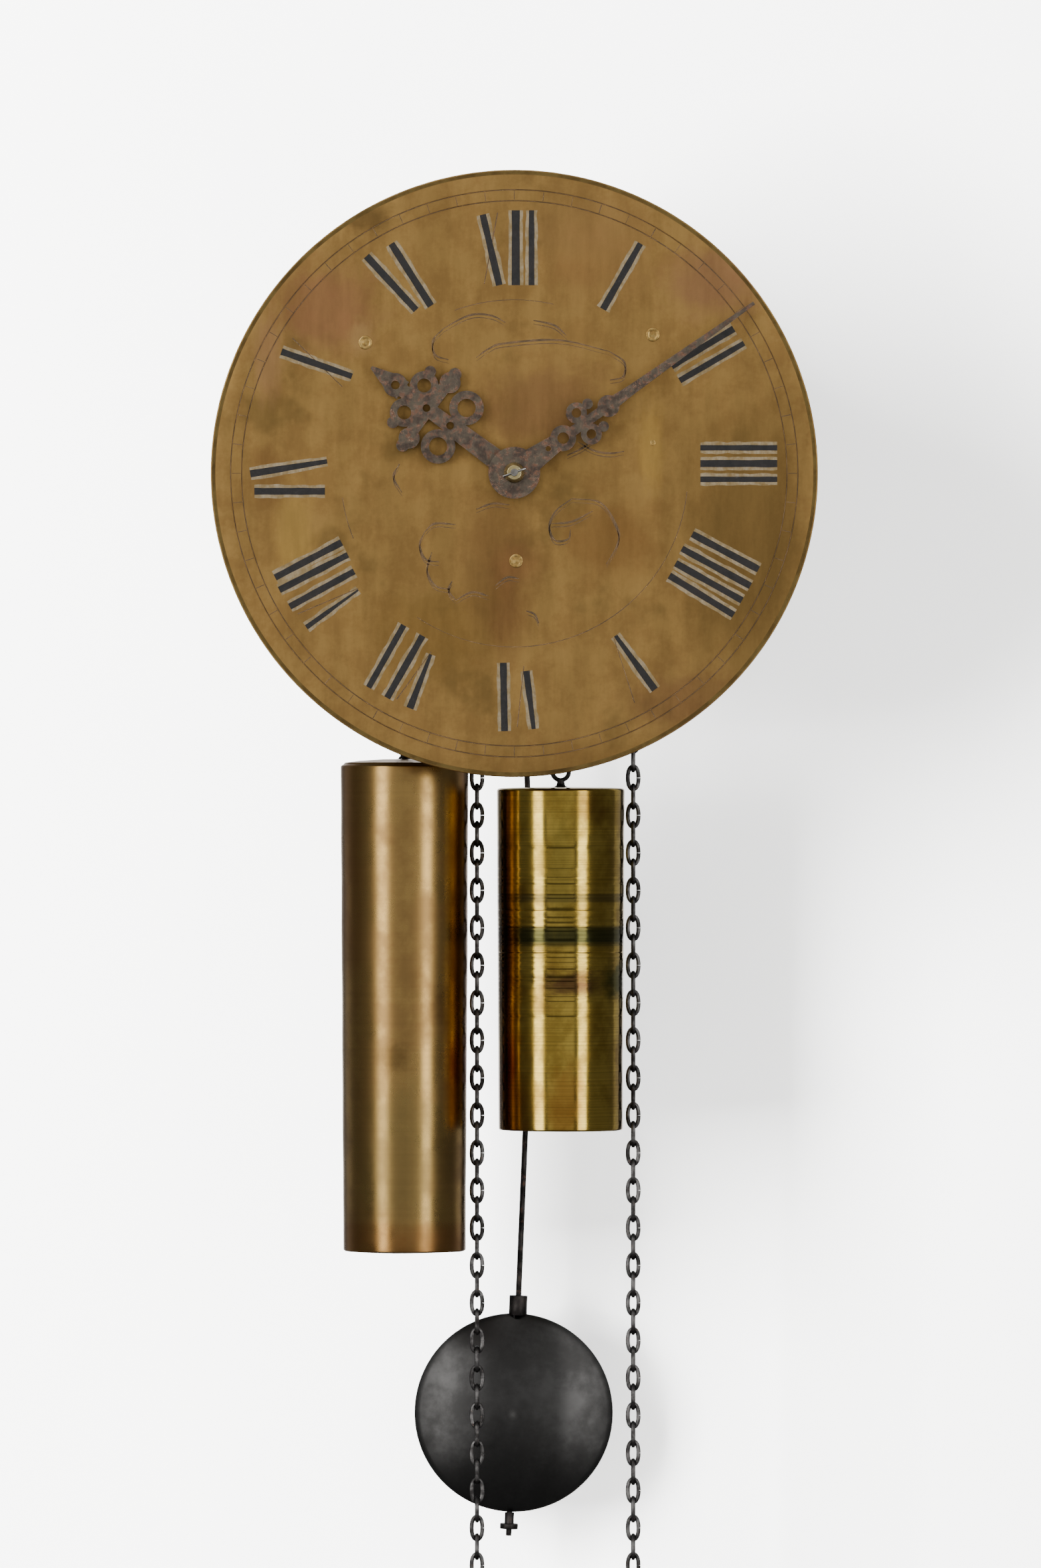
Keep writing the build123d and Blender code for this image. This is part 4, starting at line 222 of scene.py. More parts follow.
@dataclass(frozen=True)
class Metal(Finish):
    """A bare metal: tarnish in patches, the marks of its last tool, and edges rubbed bright.

    Real tool marks lie a tenth of a millimetre apart or less, too fine to show in the render, so
    spacing is as coarse as it needs to be to show.
    """

    marks: Marks = Marks.FILED
    lie: Point = (1.0, 1.0, 0.05)
    spacing: float = 0.5
    depth: float = 0.02
    mark_colour: float = 0.25
    rust: str = ""
    rust_share: Pair = (0.5, 0.62)
    rubbed: float = 0.35
    streak: float = 0.0
    streak_spacing: float = 7.0
    colour_patches: tuple[ColourPatch, ...] = ()

    def tool_marks(self, net: Shading) -> Socket:
        """Lay the marks of the last tool.

        Args:
            net: the material, whose coordinates start on the turning axis.

        Returns:
            The output of their height, from 0 to 1.
        """
        drawn = net.add("VectorMath", {"operation": "MULTIPLY", 0: net.place, 1: self.lie}).outputs[0]
        if self.marks is Marks.TURNED:
            axis = tuple(0.0 if share else 1.0 for share in self.lie)
            out = net.add("VectorMath", {"operation": "LENGTH", 0: drawn}).outputs["Value"]
            up = net.add("VectorMath", {"operation": "DOT_PRODUCT", 0: net.place, 1: axis}).outputs["Value"]
            along = net.add("Math", {"operation": "ADD", 0: out, 1: up}).outputs[0]
            values = {"Scale": 1 / self.spacing, "Detail": 3.0, "Roughness": 0.7, "W": along}
            return net.add("TexNoise", {"noise_dimensions": "1D"} | values).outputs[0]
        if self.marks is Marks.HAMMERED:
            values = {"Scale": 1 / self.spacing, "Smoothness": 0.6, "Vector": net.place}
            return net.add("TexVoronoi", {"feature": "SMOOTH_F1"} | values).outputs["Distance"]
        values = {"Scale": 1 / self.spacing, "Detail": 4.0, "Roughness": 0.65, "Vector": drawn}
        return net.add("TexNoise", values).outputs[0]

    def material(self, centre: Point = (0.0, 0.0, 0.0)) -> bpy.types.Material:
        """Make the material.

        Args:
            centre: where the turning axis passes, or any fixed point for straight marks.

        Returns:
            The material.
        """
        net = Shading(self.name, centre)
        marks = self.tool_marks(net)
        bright = net.patches(self.patch, (0.36, 0.64))
        deep = net.patches(2.7 * self.patch, (0.55, 0.72), 4.0)
        old = net.add("MapRange", {"To Max": 0.7, "Value": deep}).outputs[0]
        colour_patches = [(colour_patch.mask(net), colour_patch.colour) for colour_patch in self.colour_patches]
        colour = net.coat(self.dull, (bright, self.clean), (old, self.deep), *colour_patches)
        low, high = 1 - 1.6 * self.mark_colour, 1 + 0.9 * self.mark_colour
        shade = net.add("MapRange", {"To Min": low, "To Max": high, "Value": marks}).outputs[0]
        if self.streak:
            shade = self.streaked(net, shade)
        colour = net.add("VectorMath", {"operation": "SCALE", 0: colour, "Scale": shade}).outputs[0]
        low, high = self.rough
        rough = net.add("MapRange", {"To Min": high, "To Max": low, "Value": bright}).outputs[0]
        metallic: Socket | float = 1.0
        if self.rust:
            grown = net.patches(0.45 * self.patch, self.rust_share, 8.0)
            colour = net.coat(colour, (grown, self.rust))
            metallic = net.add("MapRange", {"To Min": 1.0, "To Max": 0.15, "Value": grown}).outputs[0]
            dry = net.add("MapRange", {"To Max": 0.85, "Value": grown}).outputs[0]
            rough = net.add("Math", {"operation": "MAXIMUM", 0: rough, 1: dry}).outputs[0]
        if self.rubbed:
            colour = self.rub_edges(net, colour)
        values = {"Scale": 2.2, "Detail": 5.0, "Roughness": 0.7, "Vector": net.place}
        grit = net.add("TexNoise", values).outputs[0]
        height = net.add("Math", {"operation": "MULTIPLY_ADD", 0: grit, 1: 0.5, 2: marks}).outputs[0]
        bump = net.add("Bump", {"Distance": self.depth * METRES, "Height": height}).outputs[0]
        values = {"Metallic": metallic, "Base Color": colour, "Roughness": rough, "Normal": bump}
        return net.close(net.add("BsdfPrincipled", values))

    def streaked(self, net: Shading, shade: Socket) -> Socket:
        """Vary the tone in long broad streaks, the way that a rag was drawn over the surface.

        Args:
            net: the material.
            shade: the tone under the streaks.

        Returns:
            The output of the streaked tone.
        """
        long = tuple(share if share < 1 else 1.0 for share in (self.lie[0], self.lie[1], 2.5 * self.lie[2]))
        drawn = net.add("VectorMath", {"operation": "MULTIPLY", 0: net.place, 1: long}).outputs[0]
        broad = net.patches(self.streak_spacing, (0.34, 0.66), 5.0, drawn)
        low, high = 1 - self.streak, 1 + 0.6 * self.streak
        drag = net.add("MapRange", {"To Min": low, "To Max": high, "Value": broad}).outputs[0]
        return net.add("Math", {"operation": "MULTIPLY", 0: shade, 1: drag}).outputs[0]

    def rub_edges(self, net: Shading, colour: Socket) -> Socket:
        """Brighten what a cloth and fingers reach first: the outer edges.

        Args:
            net: the material.
            colour: the colour of the flat surface.

        Returns:
            The output of the colour with bright edges.
        """
        rounded = net.add("Bevel", {"samples": 4, "Radius": 0.6 * METRES}).outputs[0]
        normal = net.add("NewGeometry").outputs["Normal"]
        alike = net.add("VectorMath", {"operation": "DOT_PRODUCT", 0: rounded, 1: normal}).outputs["Value"]
        values = {"From Min": 0.995, "From Max": 0.86, "To Max": self.rubbed, "Value": alike}
        mask = net.add("MapRange", values).outputs[0]
        bright = net.add("VectorMath", {"operation": "SCALE", 0: colour, "Scale": 1.7}).outputs[0]
        return net.coat(colour, (mask, bright))


@dataclass(frozen=True)
class Coating(Finish):
    """A surface that isn't metal: wax in the engraving, plaster, or a painted board."""

    grain: float = 1.0
    depth: float = 0.02

    def material(self, centre: Point = (0.0, 0.0, 0.0)) -> bpy.types.Material:
        """Make the material.

        Args:
            centre: any fixed point.

        Returns:
            The material.
        """
        net = Shading(self.name, centre)
        mask = net.patches(self.patch, (0.35, 0.65))
        deep = net.patches(3.1 * self.patch, (0.5, 0.8), 3.0)
        old = net.add("MapRange", {"To Max": 0.6, "Value": deep}).outputs[0]
        colour = net.coat(self.dull, (mask, self.clean), (old, self.deep))
        grit = net.add("TexNoise", {"Scale": 1 / self.grain, "Detail": 6.0, "Vector": net.place}).outputs[0]
        bump = net.add("Bump", {"Distance": self.depth * METRES, "Height": grit}).outputs[0]
        low, high = self.rough
        rough = net.add("MapRange", {"To Min": high, "To Max": low, "Value": mask}).outputs[0]
        values = {"IOR": 1.5, "Base Color": colour, "Roughness": rough, "Normal": bump}
        return net.close(net.add("BsdfPrincipled", values))


# Each stain of the dial: its place right and up, its half width and half height, colour and strength.
DIAL_STAINS = tuple(
    ColourPatch((right, 0.0, up), (wide, 0.0, high), colour, strength)
    for right, up, wide, high, colour, strength in (
        (98.0, -100.0, 44.0, 90.0, "#775e35", 0.75),
        (30.0, -196.0, 44.0, 20.0, "#836539", 0.55),
        (-8.0, -112.0, 23.0, 52.0, "#7e5e38", 0.65),
        (-4.0, -128.0, 11.0, 34.0, "#755032", 0.4),
        (2.0, -110.0, 15.0, 13.0, "#946a42", 0.45),
        (12.0, -45.0, 40.0, 26.0, "#8a6642", 0.7),
        (-61.0, 34.0, 16.0, 9.0, "#634e2e", 0.6),
        (-78.0, -4.0, 30.0, 26.0, "#9c6f4c", 0.75),
        (-64.0, -16.0, 7.0, 10.0, "#c49e66", 0.45),
        (-103.0, -24.0, 9.0, 26.0, "#ad835a", 0.6),
        (-103.0, -74.0, 13.0, 22.0, "#85633a", 0.6),
        (84.0, 8.0, 30.0, 22.0, "#9a7050", 0.7),
        (36.0, 16.0, 34.0, 24.0, "#9a7446", 0.55),
        (74.0, -168.0, 40.0, 18.0, "#846040", 0.55),
        (-92.0, -98.0, 12.0, 26.0, "#bd9852", 0.6),
        (57.0, -62.0, 8.0, 26.0, "#b8934e", 0.6),
        (-34.0, -140.0, 40.0, 30.0, "#8b6c3a", 0.6),
        (40.0, -100.0, 30.0, 24.0, "#886338", 0.6),
        (30.0, 30.0, 40.0, 18.0, "#a07c4c", 0.5),
    )
)
# Rolled and scraped sheet brass, its lacquer long gone: dull golden brown, drawn by vertical rubbing,
# with redder copper-rich stains where hands and polish reached.
DIAL_BRASS = Metal(
    "rolled_brushed_dial_brass", clean="#ae8a50", dull="#977644", deep="#81673b", patch=11.0,
    rough=(0.4, 0.52), lie=(1.0, 1.0, 0.09), spacing=1.9, depth=0.01, mark_colour=0.07, rubbed=0.0,
    streak=0.13, streak_spacing=11.0, colour_patches=DIAL_STAINS,
)
# A band of the same sheet round its turned edge, dark olive brown: painted shade of the rim.
RIM_SHADE_BRASS = Metal(
    "painted_shade_rim_brass", clean="#7f6a3e", dull="#665230", deep="#4b3c24", patch=10.0,
    rough=(0.45, 0.6), marks=Marks.TURNED, lie=(1.0, 0.0, 1.0), depth=0.01, mark_colour=0.15, rubbed=0.0,
)
# Cast brass, planished and stoned flat: brown-gold with fine crossing scratches.
PLATE_BRASS = Metal(
    "cast_stoned_plate_brass", clean="#c2a062", dull="#ae8a50", deep="#8d6c3e", patch=16.0,
    rough=(0.3, 0.44), lie=(0.08, 1.0, 1.0), spacing=0.8, depth=0.01, mark_colour=0.16, streak=0.08,
    streak_spacing=9.0,
)
# Wheel brass, turned flat and cut: rings round the arbor break up its reflections.
WHEEL_BRASS = Metal(
    "turned_cut_wheel_brass", clean="#cda862", dull="#ad8748", deep="#82622f", patch=9.0,
    rough=(0.24, 0.42), marks=Marks.TURNED, lie=(1.0, 0.0, 1.0), spacing=0.35, depth=0.008, mark_colour=0.16,
)
# Turned brass, left bare to handle: pale and bright, with a little green in the hollows.
COLLET_BRASS = Metal(
    "turned_bright_collet_brass", clean="#e0d3a6", dull="#c2ae77", deep="#8d7d4c", patch=3.0,
    rough=(0.22, 0.35), marks=Marks.TURNED, lie=(1.0, 0.0, 1.0), spacing=0.3, depth=0.006,
)
# Drawn brass tube over lead, smooth from handling: warm, with reddish blooms near the foot.
LEFT_WEIGHT_BRASS = Metal(
    "drawn_handled_weight_brass", clean="#a68750", dull="#8f7144", deep="#785b35", patch=20.0,
    rough=(0.25, 0.34), marks=Marks.TURNED, lie=(1.0, 1.0, 0.0), spacing=2.4, depth=0.002,
    mark_colour=0.06, rubbed=0.2, streak=0.1, streak_spacing=26.0,
    colour_patches=(
        ColourPatch((0.0, 0.0, -398.0), (0.0, 0.0, 17.0), "#83532b", 0.5),
        # The next two bands, down the weight's left and right sides as seen from the front, are painted shade
        # of its dark edge reflections, tinted reddish.
        ColourPatch((-24.0, -10.0, -230.0), (12.0, 30.0, 90.0), "#8d6238", 0.5),
        ColourPatch((25.0, -8.0, -250.0), (9.0, 30.0, 120.0), "#84502c", 0.45),
        ColourPatch((0.0, -25.0, -360.0), (30.0, 30.0, 50.0), "#857245", 0.6),
        ColourPatch((27.0, 0.0, -320.0), (12.0, 0.0, 20.0), "#7c2f14", 0.6),
        ColourPatch((-4.0, 0.0, -318.0), (9.0, 0.0, 9.0), "#6d5430", 0.6),
    ),
)
# Brass turned in a lathe and never polished out: greenish gold, sharp rings, a dark band of tarnish.
RIGHT_WEIGHT_BRASS = Metal(
    "lathe_turned_weight_brass", clean="#bda14c", dull="#9b8038", deep="#745226", patch=13.0,
    rough=(0.13, 0.2), marks=Marks.TURNED, lie=(1.0, 1.0, 0.0), spacing=0.9, depth=0.006,
    mark_colour=0.34, rubbed=0.2,
    colour_patches=(
        ColourPatch((0.0, 0.0, -267.0), (0.0, 0.0, 7.0), "#3a3d24", 0.93),
        ColourPatch((4.0, -20.0, -287.0), (22.0, 30.0, 8.0), "#57382a", 0.85),
        ColourPatch((0.0, 0.0, -251.0), (0.0, 0.0, 3.0), "#5b5030", 0.7),
        ColourPatch((24.0, -10.0, -286.0), (12.0, 20.0, 12.0), "#33401f", 0.8),
        ColourPatch((0.0, -27.0, -238.0), (10.0, 20.0, 34.0), "#7f7233", 0.5),
        # The next two patches down the weight's left side are painted shade of its dark edge reflections,
        # tinted brown.
        ColourPatch((-22.0, -14.0, -335.0), (18.0, 30.0, 40.0), "#70401a", 0.75),
        ColourPatch((-25.0, -10.0, -262.0), (12.0, 20.0, 60.0), "#5c3a18", 0.7),
        ColourPatch((2.0, -27.0, -338.0), (12.0, 20.0, 26.0), "#94622a", 0.6),
        # Painted shade of the dark edge reflection down the weight's right side, tinted brown.
        ColourPatch((26.0, 0.0, -330.0), (10.0, 20.0, 40.0), "#6a4520", 0.6),
    ),
)
# Bell metal, cast and turned: paler and greyer than brass, as its tin share is high.
BELL_METAL = Metal(
    "cast_turned_bell_metal", clean="#bba273", dull="#96804f", deep="#6a5a38", patch=12.0,
    rough=(0.25, 0.42), marks=Marks.TURNED, lie=(1.0, 1.0, 0.0), spacing=0.8, mark_colour=0.18,
)
# Wrought iron, filed and left to rust: grey-green where it is rubbed, brown where it has bloomed.
HAND_IRON = Metal(
    "filed_rusty_hand_iron", clean="#746a5c", dull="#574c44", deep="#3b322c", patch=4.5, rough=(0.4, 0.6),
    lie=(1.0, 1.0, 1.0), spacing=0.9, depth=0.05, mark_colour=0.22, rust="#5f4230", rust_share=(0.47, 0.64),
)
# Wrought iron from the hammer, oiled black: broad shallow facets with brown scale between them.
FORGED_IRON = Metal(
    "hammered_wrought_iron", clean="#4a4644", dull="#2f2c2b", deep="#1d1a19", patch=9.0, rough=(0.42, 0.6),
    marks=Marks.HAMMERED, spacing=4.5, depth=0.18, mark_colour=0.1, rust="#4a3022", rust_share=(0.58, 0.7),
)
# Silver steel, turned and burnished: grey, with fine rings.
ARBOR_STEEL = Metal(
    "turned_burnished_steel", clean="#a5a29c", dull="#7b7670", deep="#4d4640", patch=5.0,
    rough=(0.2, 0.38), marks=Marks.TURNED, lie=(1.0, 0.0, 1.0), spacing=0.4, depth=0.008,
)
# Drawn iron wire, bent cold: dark, with brown rust in the bends.
CHAIN_STEEL = Metal(
    "drawn_wire_chain_steel", clean="#5a5857", dull="#373534", deep="#221f1e", patch=4.0,
    rough=(0.36, 0.52), lie=(1.0, 1.0, 0.3), depth=0.012, rubbed=0.0, rust="#453025", rust_share=(0.6, 0.72),
)
# Cast iron, ground smooth and blackened with stove polish: near black, satin.
BOB_IRON = Metal(
    "ground_blackened_cast_iron", clean="#4c4b4a", dull="#3f3e3d", deep="#323130", patch=17.0,
    rough=(0.36, 0.44), lie=(0.25, 1.0, 0.5), spacing=1.6, depth=0.006, mark_colour=0.06, rubbed=0.2,
)
# Flat spring steel, blued by heat.
SPRING_STEEL = Metal(
    "heat_blued_spring_steel", clean="#56627c", dull="#3c4354", deep="#2a2c33", patch=3.0,
    rough=(0.18, 0.3), spacing=0.3, depth=0.004,
)
# Hard black wax, run into the engraving and rubbed down: dark brown-black, a little glossy.
BLACK_WAX = Coating(
    "rubbed_black_engraving_wax", clean="#16110f", dull="#0d0b0a", deep="#221713", patch=4.0,
    rough=(0.5, 0.68), grain=0.6,
)
# Thin tarnish and old wax, left in the fine lines of worn engraving: brown, not black.
OLD_LINE = Coating(
    "tarnish_in_worn_engraving", clean="#5d4424", dull="#44331a", deep="#70562f", patch=6.0,
    rough=(0.6, 0.75), grain=0.5, depth=0.01,
)
# A pale grey-white band beside the numerals: painted highlight of the glint at the engraved edges.
NUMERAL_GLINT_PAINT = Metal(
    "painted_glint_by_numerals", clean="#bba98a", dull="#a38d66", deep="#93784a", patch=4.0,
    rough=(0.5, 0.62), lie=(1.0, 1.0, 0.2), spacing=0.8, depth=0.01, rubbed=0.0,
)
# Brass rivets, hammered over the dial feet and rubbed flush: a little paler than the sheet.
RIVET_BRASS = Metal(
    "hammered_rubbed_rivet_brass", clean="#c8a868", dull="#a68449", deep="#7c5c33", patch=1.4,
    rough=(0.36, 0.55), marks=Marks.HAMMERED, spacing=1.2, depth=0.03, mark_colour=0.3,
)


Groups = tuple[tuple[Metal, float, str], ...]


class Way(Enum):
    """The axis that a piece is turned on."""

    UPRIGHT = "Z"
    DEPTH = "Y"


@dataclass(frozen=True)
class Span:
    """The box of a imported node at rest, in millimetres."""

    low: Vector
    high: Vector

    @classmethod
    def of(cls, node: str) -> "Span":
        """Read a node's box from the frame."""
        low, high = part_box(node)
        return cls(low / METRES, high / METRES)

    @property
    def centre(self) -> Vector:
        """The middle of the box."""
        return (self.low + self.high) / 2

    @property
    def size(self) -> Vector:
        """The box's width, depth and height."""
        return self.high - self.low


def joined(rows: Sequence[Sequence[int]], closed: bool) -> list[tuple[Sequence[int], Sequence[int]]]:
    """Pair each row of points with the next one, and the last with the first if they close."""
    return list(zip(rows, list(rows[1:]) + list(rows[:1]))) if closed else list(zip(rows, rows[1:]))


class Form:
    """Points and faces gathered in millimetres, and made into one piece at the end."""

    JOIN = 1e-7  # metres within which two points are one

    def __init__(self) -> None:
        """Start with nothing."""
        self.points: list[Vector] = []
        self.faces: list[tuple[int, ...]] = []

    def add(self, points: Iterable[Point], faces: Iterable[Sequence[int]]) -> None:
        """Add points and faces.

        Args:
            points: the new points, in millimetres.
            faces: the corners of each face, counted from the first new point.
        """
        first = len(self.points)
        self.points += [Vector(p) for p in points]
        self.faces += [tuple(first + i for i in face) for face in faces]

    def turn(
        self, profile: Sequence[Pair], centre: Point, way: Way, segments: int = 96, ring: bool = False
    ) -> None:
        """Revolve a profile about an axis.

        Args:
            profile: radius and place along the axis, from one end to the other.
            centre: a point that the axis passes through, from which the places count.
            way: the axis's direction.
            segments: how many sides the round has.
            ring: whether the profile closes on itself, as it does on a bored piece.
        """
        points: list[Vector] = []
        rings: list[list[int]] = []
        for radius, along in profile:
            row = []
            for i in range(1 if radius < 1e-6 else segments):
                turn = 2 * math.pi * i / segments
                across, up = radius * math.cos(turn), radius * math.sin(turn)
                offset = (across, up, along) if way is Way.UPRIGHT else (across, along, up)
                row.append(len(points))
                points.append(Vector(centre) + Vector(offset))
            rings.append(row)
        faces = []
        for one, two in joined(rings, ring):
            for i in range(segments):
                j = (i + 1) % segments
                corners = [one[i % len(one)], one[j % len(one)], two[j % len(two)], two[i % len(two)]]
                face = list(dict.fromkeys(corners))
                if len(face) > 2:
                    faces.append(face)
        self.add(points, faces)

    def sweep(
        self, path: Sequence[Point], radius: float | Sequence[float], sides: int = 10, closed: bool = False,
        facing: Point | None = None,
    ) -> None:
        """Run a round section along a path.

        Args:
            path: the points of the centre line.
            radius: the section's radius, or one for each point.
            sides: how many sides the section has.
            closed: whether the path joins its own start.
            facing: the normal of the plane that a flat path lies in.
        """
        line = [Vector(p) for p in path]
        count = len(line)
        radii = [radius] * count if isinstance(radius, (int, float)) else list(radius)
        side = None
        points, rows = [], []
        for i, point in enumerate(line):
            before = line[i - 1] if closed or i else line[0]
            after = line[(i + 1) % count] if closed or i < count - 1 else line[-1]
            run = (after - before).normalized()
            if facing is not None:
                side = Vector(facing)
            elif side is None:
                side = run.orthogonal().normalized()
            else:
                side = (side - run * side.dot(run)).normalized()
            other = run.cross(side).normalized()
            rows.append(range(len(points), len(points) + sides))
            for k in range(sides):
                turn = 2 * math.pi * k / sides
                points.append(point + radii[i] * (math.cos(turn) * side + math.sin(turn) * other))
        faces: list[Sequence[int]] = []
        for one, two in joined(rows, closed):
            faces += [(one[k], one[(k + 1) % sides], two[(k + 1) % sides], two[k]) for k in range(sides)]
        if not closed:
            faces += [rows[0], rows[-1]]
        self.add(points, faces)

    def inlay(self, line: Sequence[Pair], widths: Sequence[float], face_y: float, rise: float) -> None:
        """Lay a low strip with sloping sides on a face that looks forwards.

        Args:
            line: the strip's middle line, as places right and up.
            widths: its width at each point of the line.
            face_y: the face that it lies on.
            rise: how far it stands out of the face.
        """
        middle = [Vector(p) for p in line]
        points, faces = [], []
        buried, slope, least_top = 0.05, 1.5, 0.35
        foot, crest = face_y + buried, face_y - rise
        for i, point in enumerate(middle):
            run = (middle[min(i + 1, len(middle) - 1)] - middle[max(i - 1, 0)]).normalized()
            side = Vector((-run.y, run.x))
            half = widths[i] / 2
            top = max(half - slope * rise, least_top * half)
            for reach, y in ((-half, foot), (-top, crest), (top, crest), (half, foot)):
                spot = point + side * reach
                points.append((spot.x, y, spot.y))
        for i in range(len(middle) - 1):
            a, b = 4 * i, 4 * i + 4
            faces += [(a + k, b + k, b + (k + 1) % 4, a + (k + 1) % 4) for k in range(4)]
        last = 4 * len(middle) - 4
        faces += [(0, 1, 2, 3), (last, last + 1, last + 2, last + 3)]
        self.add(points, faces)

    def piece(
        self, name: str, body: str, finish: Metal | Coating, slot: str, replaces: Sequence[str] = (),
        centre: Point = (0, 0, 0), sharp: float = 40.0, dent: Pair | None = None,
    ) -> None:
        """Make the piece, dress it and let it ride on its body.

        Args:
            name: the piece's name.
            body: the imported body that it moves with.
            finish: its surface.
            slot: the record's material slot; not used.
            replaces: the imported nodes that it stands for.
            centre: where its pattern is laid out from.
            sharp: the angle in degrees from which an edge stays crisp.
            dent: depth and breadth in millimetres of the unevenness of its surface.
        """
        mesh = bpy.data.meshes.new(name)
        mesh.from_pydata([p * METRES for p in self.points], [], self.faces)
        work = bmesh.new()
        work.from_mesh(mesh)
        bmesh.ops.remove_doubles(work, verts=work.verts, dist=self.JOIN)
        bmesh.ops.recalc_face_normals(work, faces=work.faces)
        if dent:
            work.normal_update()
            for vertex in work.verts:
                spot = vertex.co / (dent[1] * METRES)
                vertex.co += vertex.normal * (dent[0] * METRES * noise.noise(spot))
        work.to_mesh(mesh)
        work.free()
        mesh.polygons.foreach_set("use_smooth", [True] * len(mesh.polygons))
        mesh.set_sharp_from_angle(angle=math.radians(sharp))
        mesh.materials.append(finish.material(centre))
        made = bpy.data.objects.new(name, mesh)
        bpy.context.scene.collection.objects.link(made)
        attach(made, body)
        if replaces:
            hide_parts(*replaces)
        LOG.info("made %s on body %s", name, body)


def dress(node: str, finish: Metal, edge: float) -> None:
    """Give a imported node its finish, and break its sharp edges as a file would.

    Args:
        node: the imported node's name.
        finish: its surface, laid out from the node's own middle.
        edge: how wide its edges are broken, in millimetres.
    """
    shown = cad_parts[node]
    shown.data.materials.clear()
    shown.data.materials.append(finish.material(Span.of(node).centre))
    weld = shown.modifiers.new("joined_faces", "WELD")
    weld.merge_threshold = SEAM
    if edge:
        broken = shown.modifiers.new("broken_edges", "BEVEL")
        broken.width = edge * METRES
        broken.segments = 2
        broken.limit_method = "ANGLE"
        broken.angle_limit = math.radians(CORNER)
        broken.harden_normals = True
    LOG.info("dressed %s as %s", node, finish.name)


def on_bearing(centre: Point, bearing: float, along: float, across: float = 0.0) -> Pair:
    """Find a place by its bearing.

    Args:
        centre: the point that it's measured from, as right and up.
        bearing: degrees clockwise from straight up.
        along: the distance out along the bearing.
        across: the distance to the right of the bearing's line.

    Returns:
        The place, as right and up.
    """
    turn = math.radians(bearing)
    right = centre[0] + along * math.sin(turn) + across * math.cos(turn)
    return (right, centre[1] + along * math.cos(turn) - across * math.sin(turn))


def smooth(spots: Sequence[Pair], steps: int = 7) -> list[Pair]:
    """Draw a smooth line through a few places.

    Args:
        spots: the places, as right and up.
        steps: how many points each stretch between two places gets.

    Returns:
        The points of the line.
    """
    ends = [Vector(spots[0]) * 2 - Vector(spots[1])] + [Vector(s) for s in spots]
    ends.append(Vector(spots[-1]) * 2 - Vector(spots[-2]))
    line = []
    for a, b, c, d in zip(ends, ends[1:], ends[2:], ends[3:]):
        for step in range(steps):
            t = step / steps
            bend, swing = 2 * a - 5 * b + 4 * c - d, 3 * b - a - 3 * c + d
            spot = (2 * b + (c - a) * t + bend * t**2 + swing * t**3) / 2
            line.append((spot.x, spot.y))
    return line + [tuple(spots[-1])]


# Bars of each hour's numeral: how far out and across the hour's own line its outer end lies, the same
# for its inner end, and the widths of both ends where they aren't the usual ones.
BARS: dict[int, tuple[tuple[float, ...], ...]] = {
    12: (
        (108.2, -13.2, 78.7, -6.3), (110.0, 0.6, 78.7, 0.6, 3.4, 3.4), (110.0, 7.2, 78.7, 7.2, 2.5, 2.5),
        (109.0, -7.0, 79.2, -12.6, 0.6, 0.5),
    ),
    1: ((109.6, -2.4, 78.0, -2.2, 2.5, 3.1),),
    2: ((109.7, -6.5, 79.3, -6.0), (110.4, 0.9, 79.3, 1.0, 2.4, 2.8)),
    3: (
        (109.9, -10.7, 77.8, -10.7, 2.4, 2.4), (109.9, -4.1, 77.8, -4.1, 3.1, 3.1),
        (109.9, 2.5, 77.8, 2.5, 2.4, 2.4),
    ),
    4: (
        (108.5, -16.3, 77.1, -15.2), (109.0, -8.6, 76.4, -7.8), (109.0, -1.6, 77.2, -1.2),
        (109.0, 5.4, 77.5, 4.6),
    ),
    5: ((107.7, -5.7, 79.9, -2.7, 3.4, 1.8), (108.2, 4.4, 80.2, -1.7, 0.5, 0.4)),
    6: ((107.8, 4.1, 79.2, 4.6), (106.9, -8.1, 82.6, -5.0, 1.9, 3.0), (106.0, -1.2, 80.5, -4.0, 0.5, 0.4)),
    7: (
        (108.0, 8.0, 78.1, 8.3, 2.6, 2.6), (107.9, -0.9, 78.0, -0.7), (106.9, -11.3, 83.0, -7.6, 3.2, 1.4),
        (106.5, -4.6, 82.0, -7.2, 0.5, 0.4),
    ),
    8: (
        (108.4, 12.3, 77.0, 11.1), (109.5, 6.9, 77.3, 5.3), (109.2, -1.3, 78.5, -2.0),
        (107.5, -12.3, 80.9, -9.6, 2.5, 0.9), (107.8, -5.6, 80.6, -9.0, 0.5, 0.4),
    ),
    9: ((110.4, -0.2, 78.3, 5.0, 3.2, 2.0), (108.7, -7.5, 79.2, -7.5, 3.0, 3.0)),
    10: ((109.8, -4.6, 79.1, 1.2, 3.0, 2.6), (108.6, 2.6, 80.4, -4.6, 0.5, 0.4)),
    11: ((109.6, -8.1, 79.7, -1.4, 3.2, 3.0), (108.9, 3.5, 78.1, 4.8, 3.0, 3.0)),
}
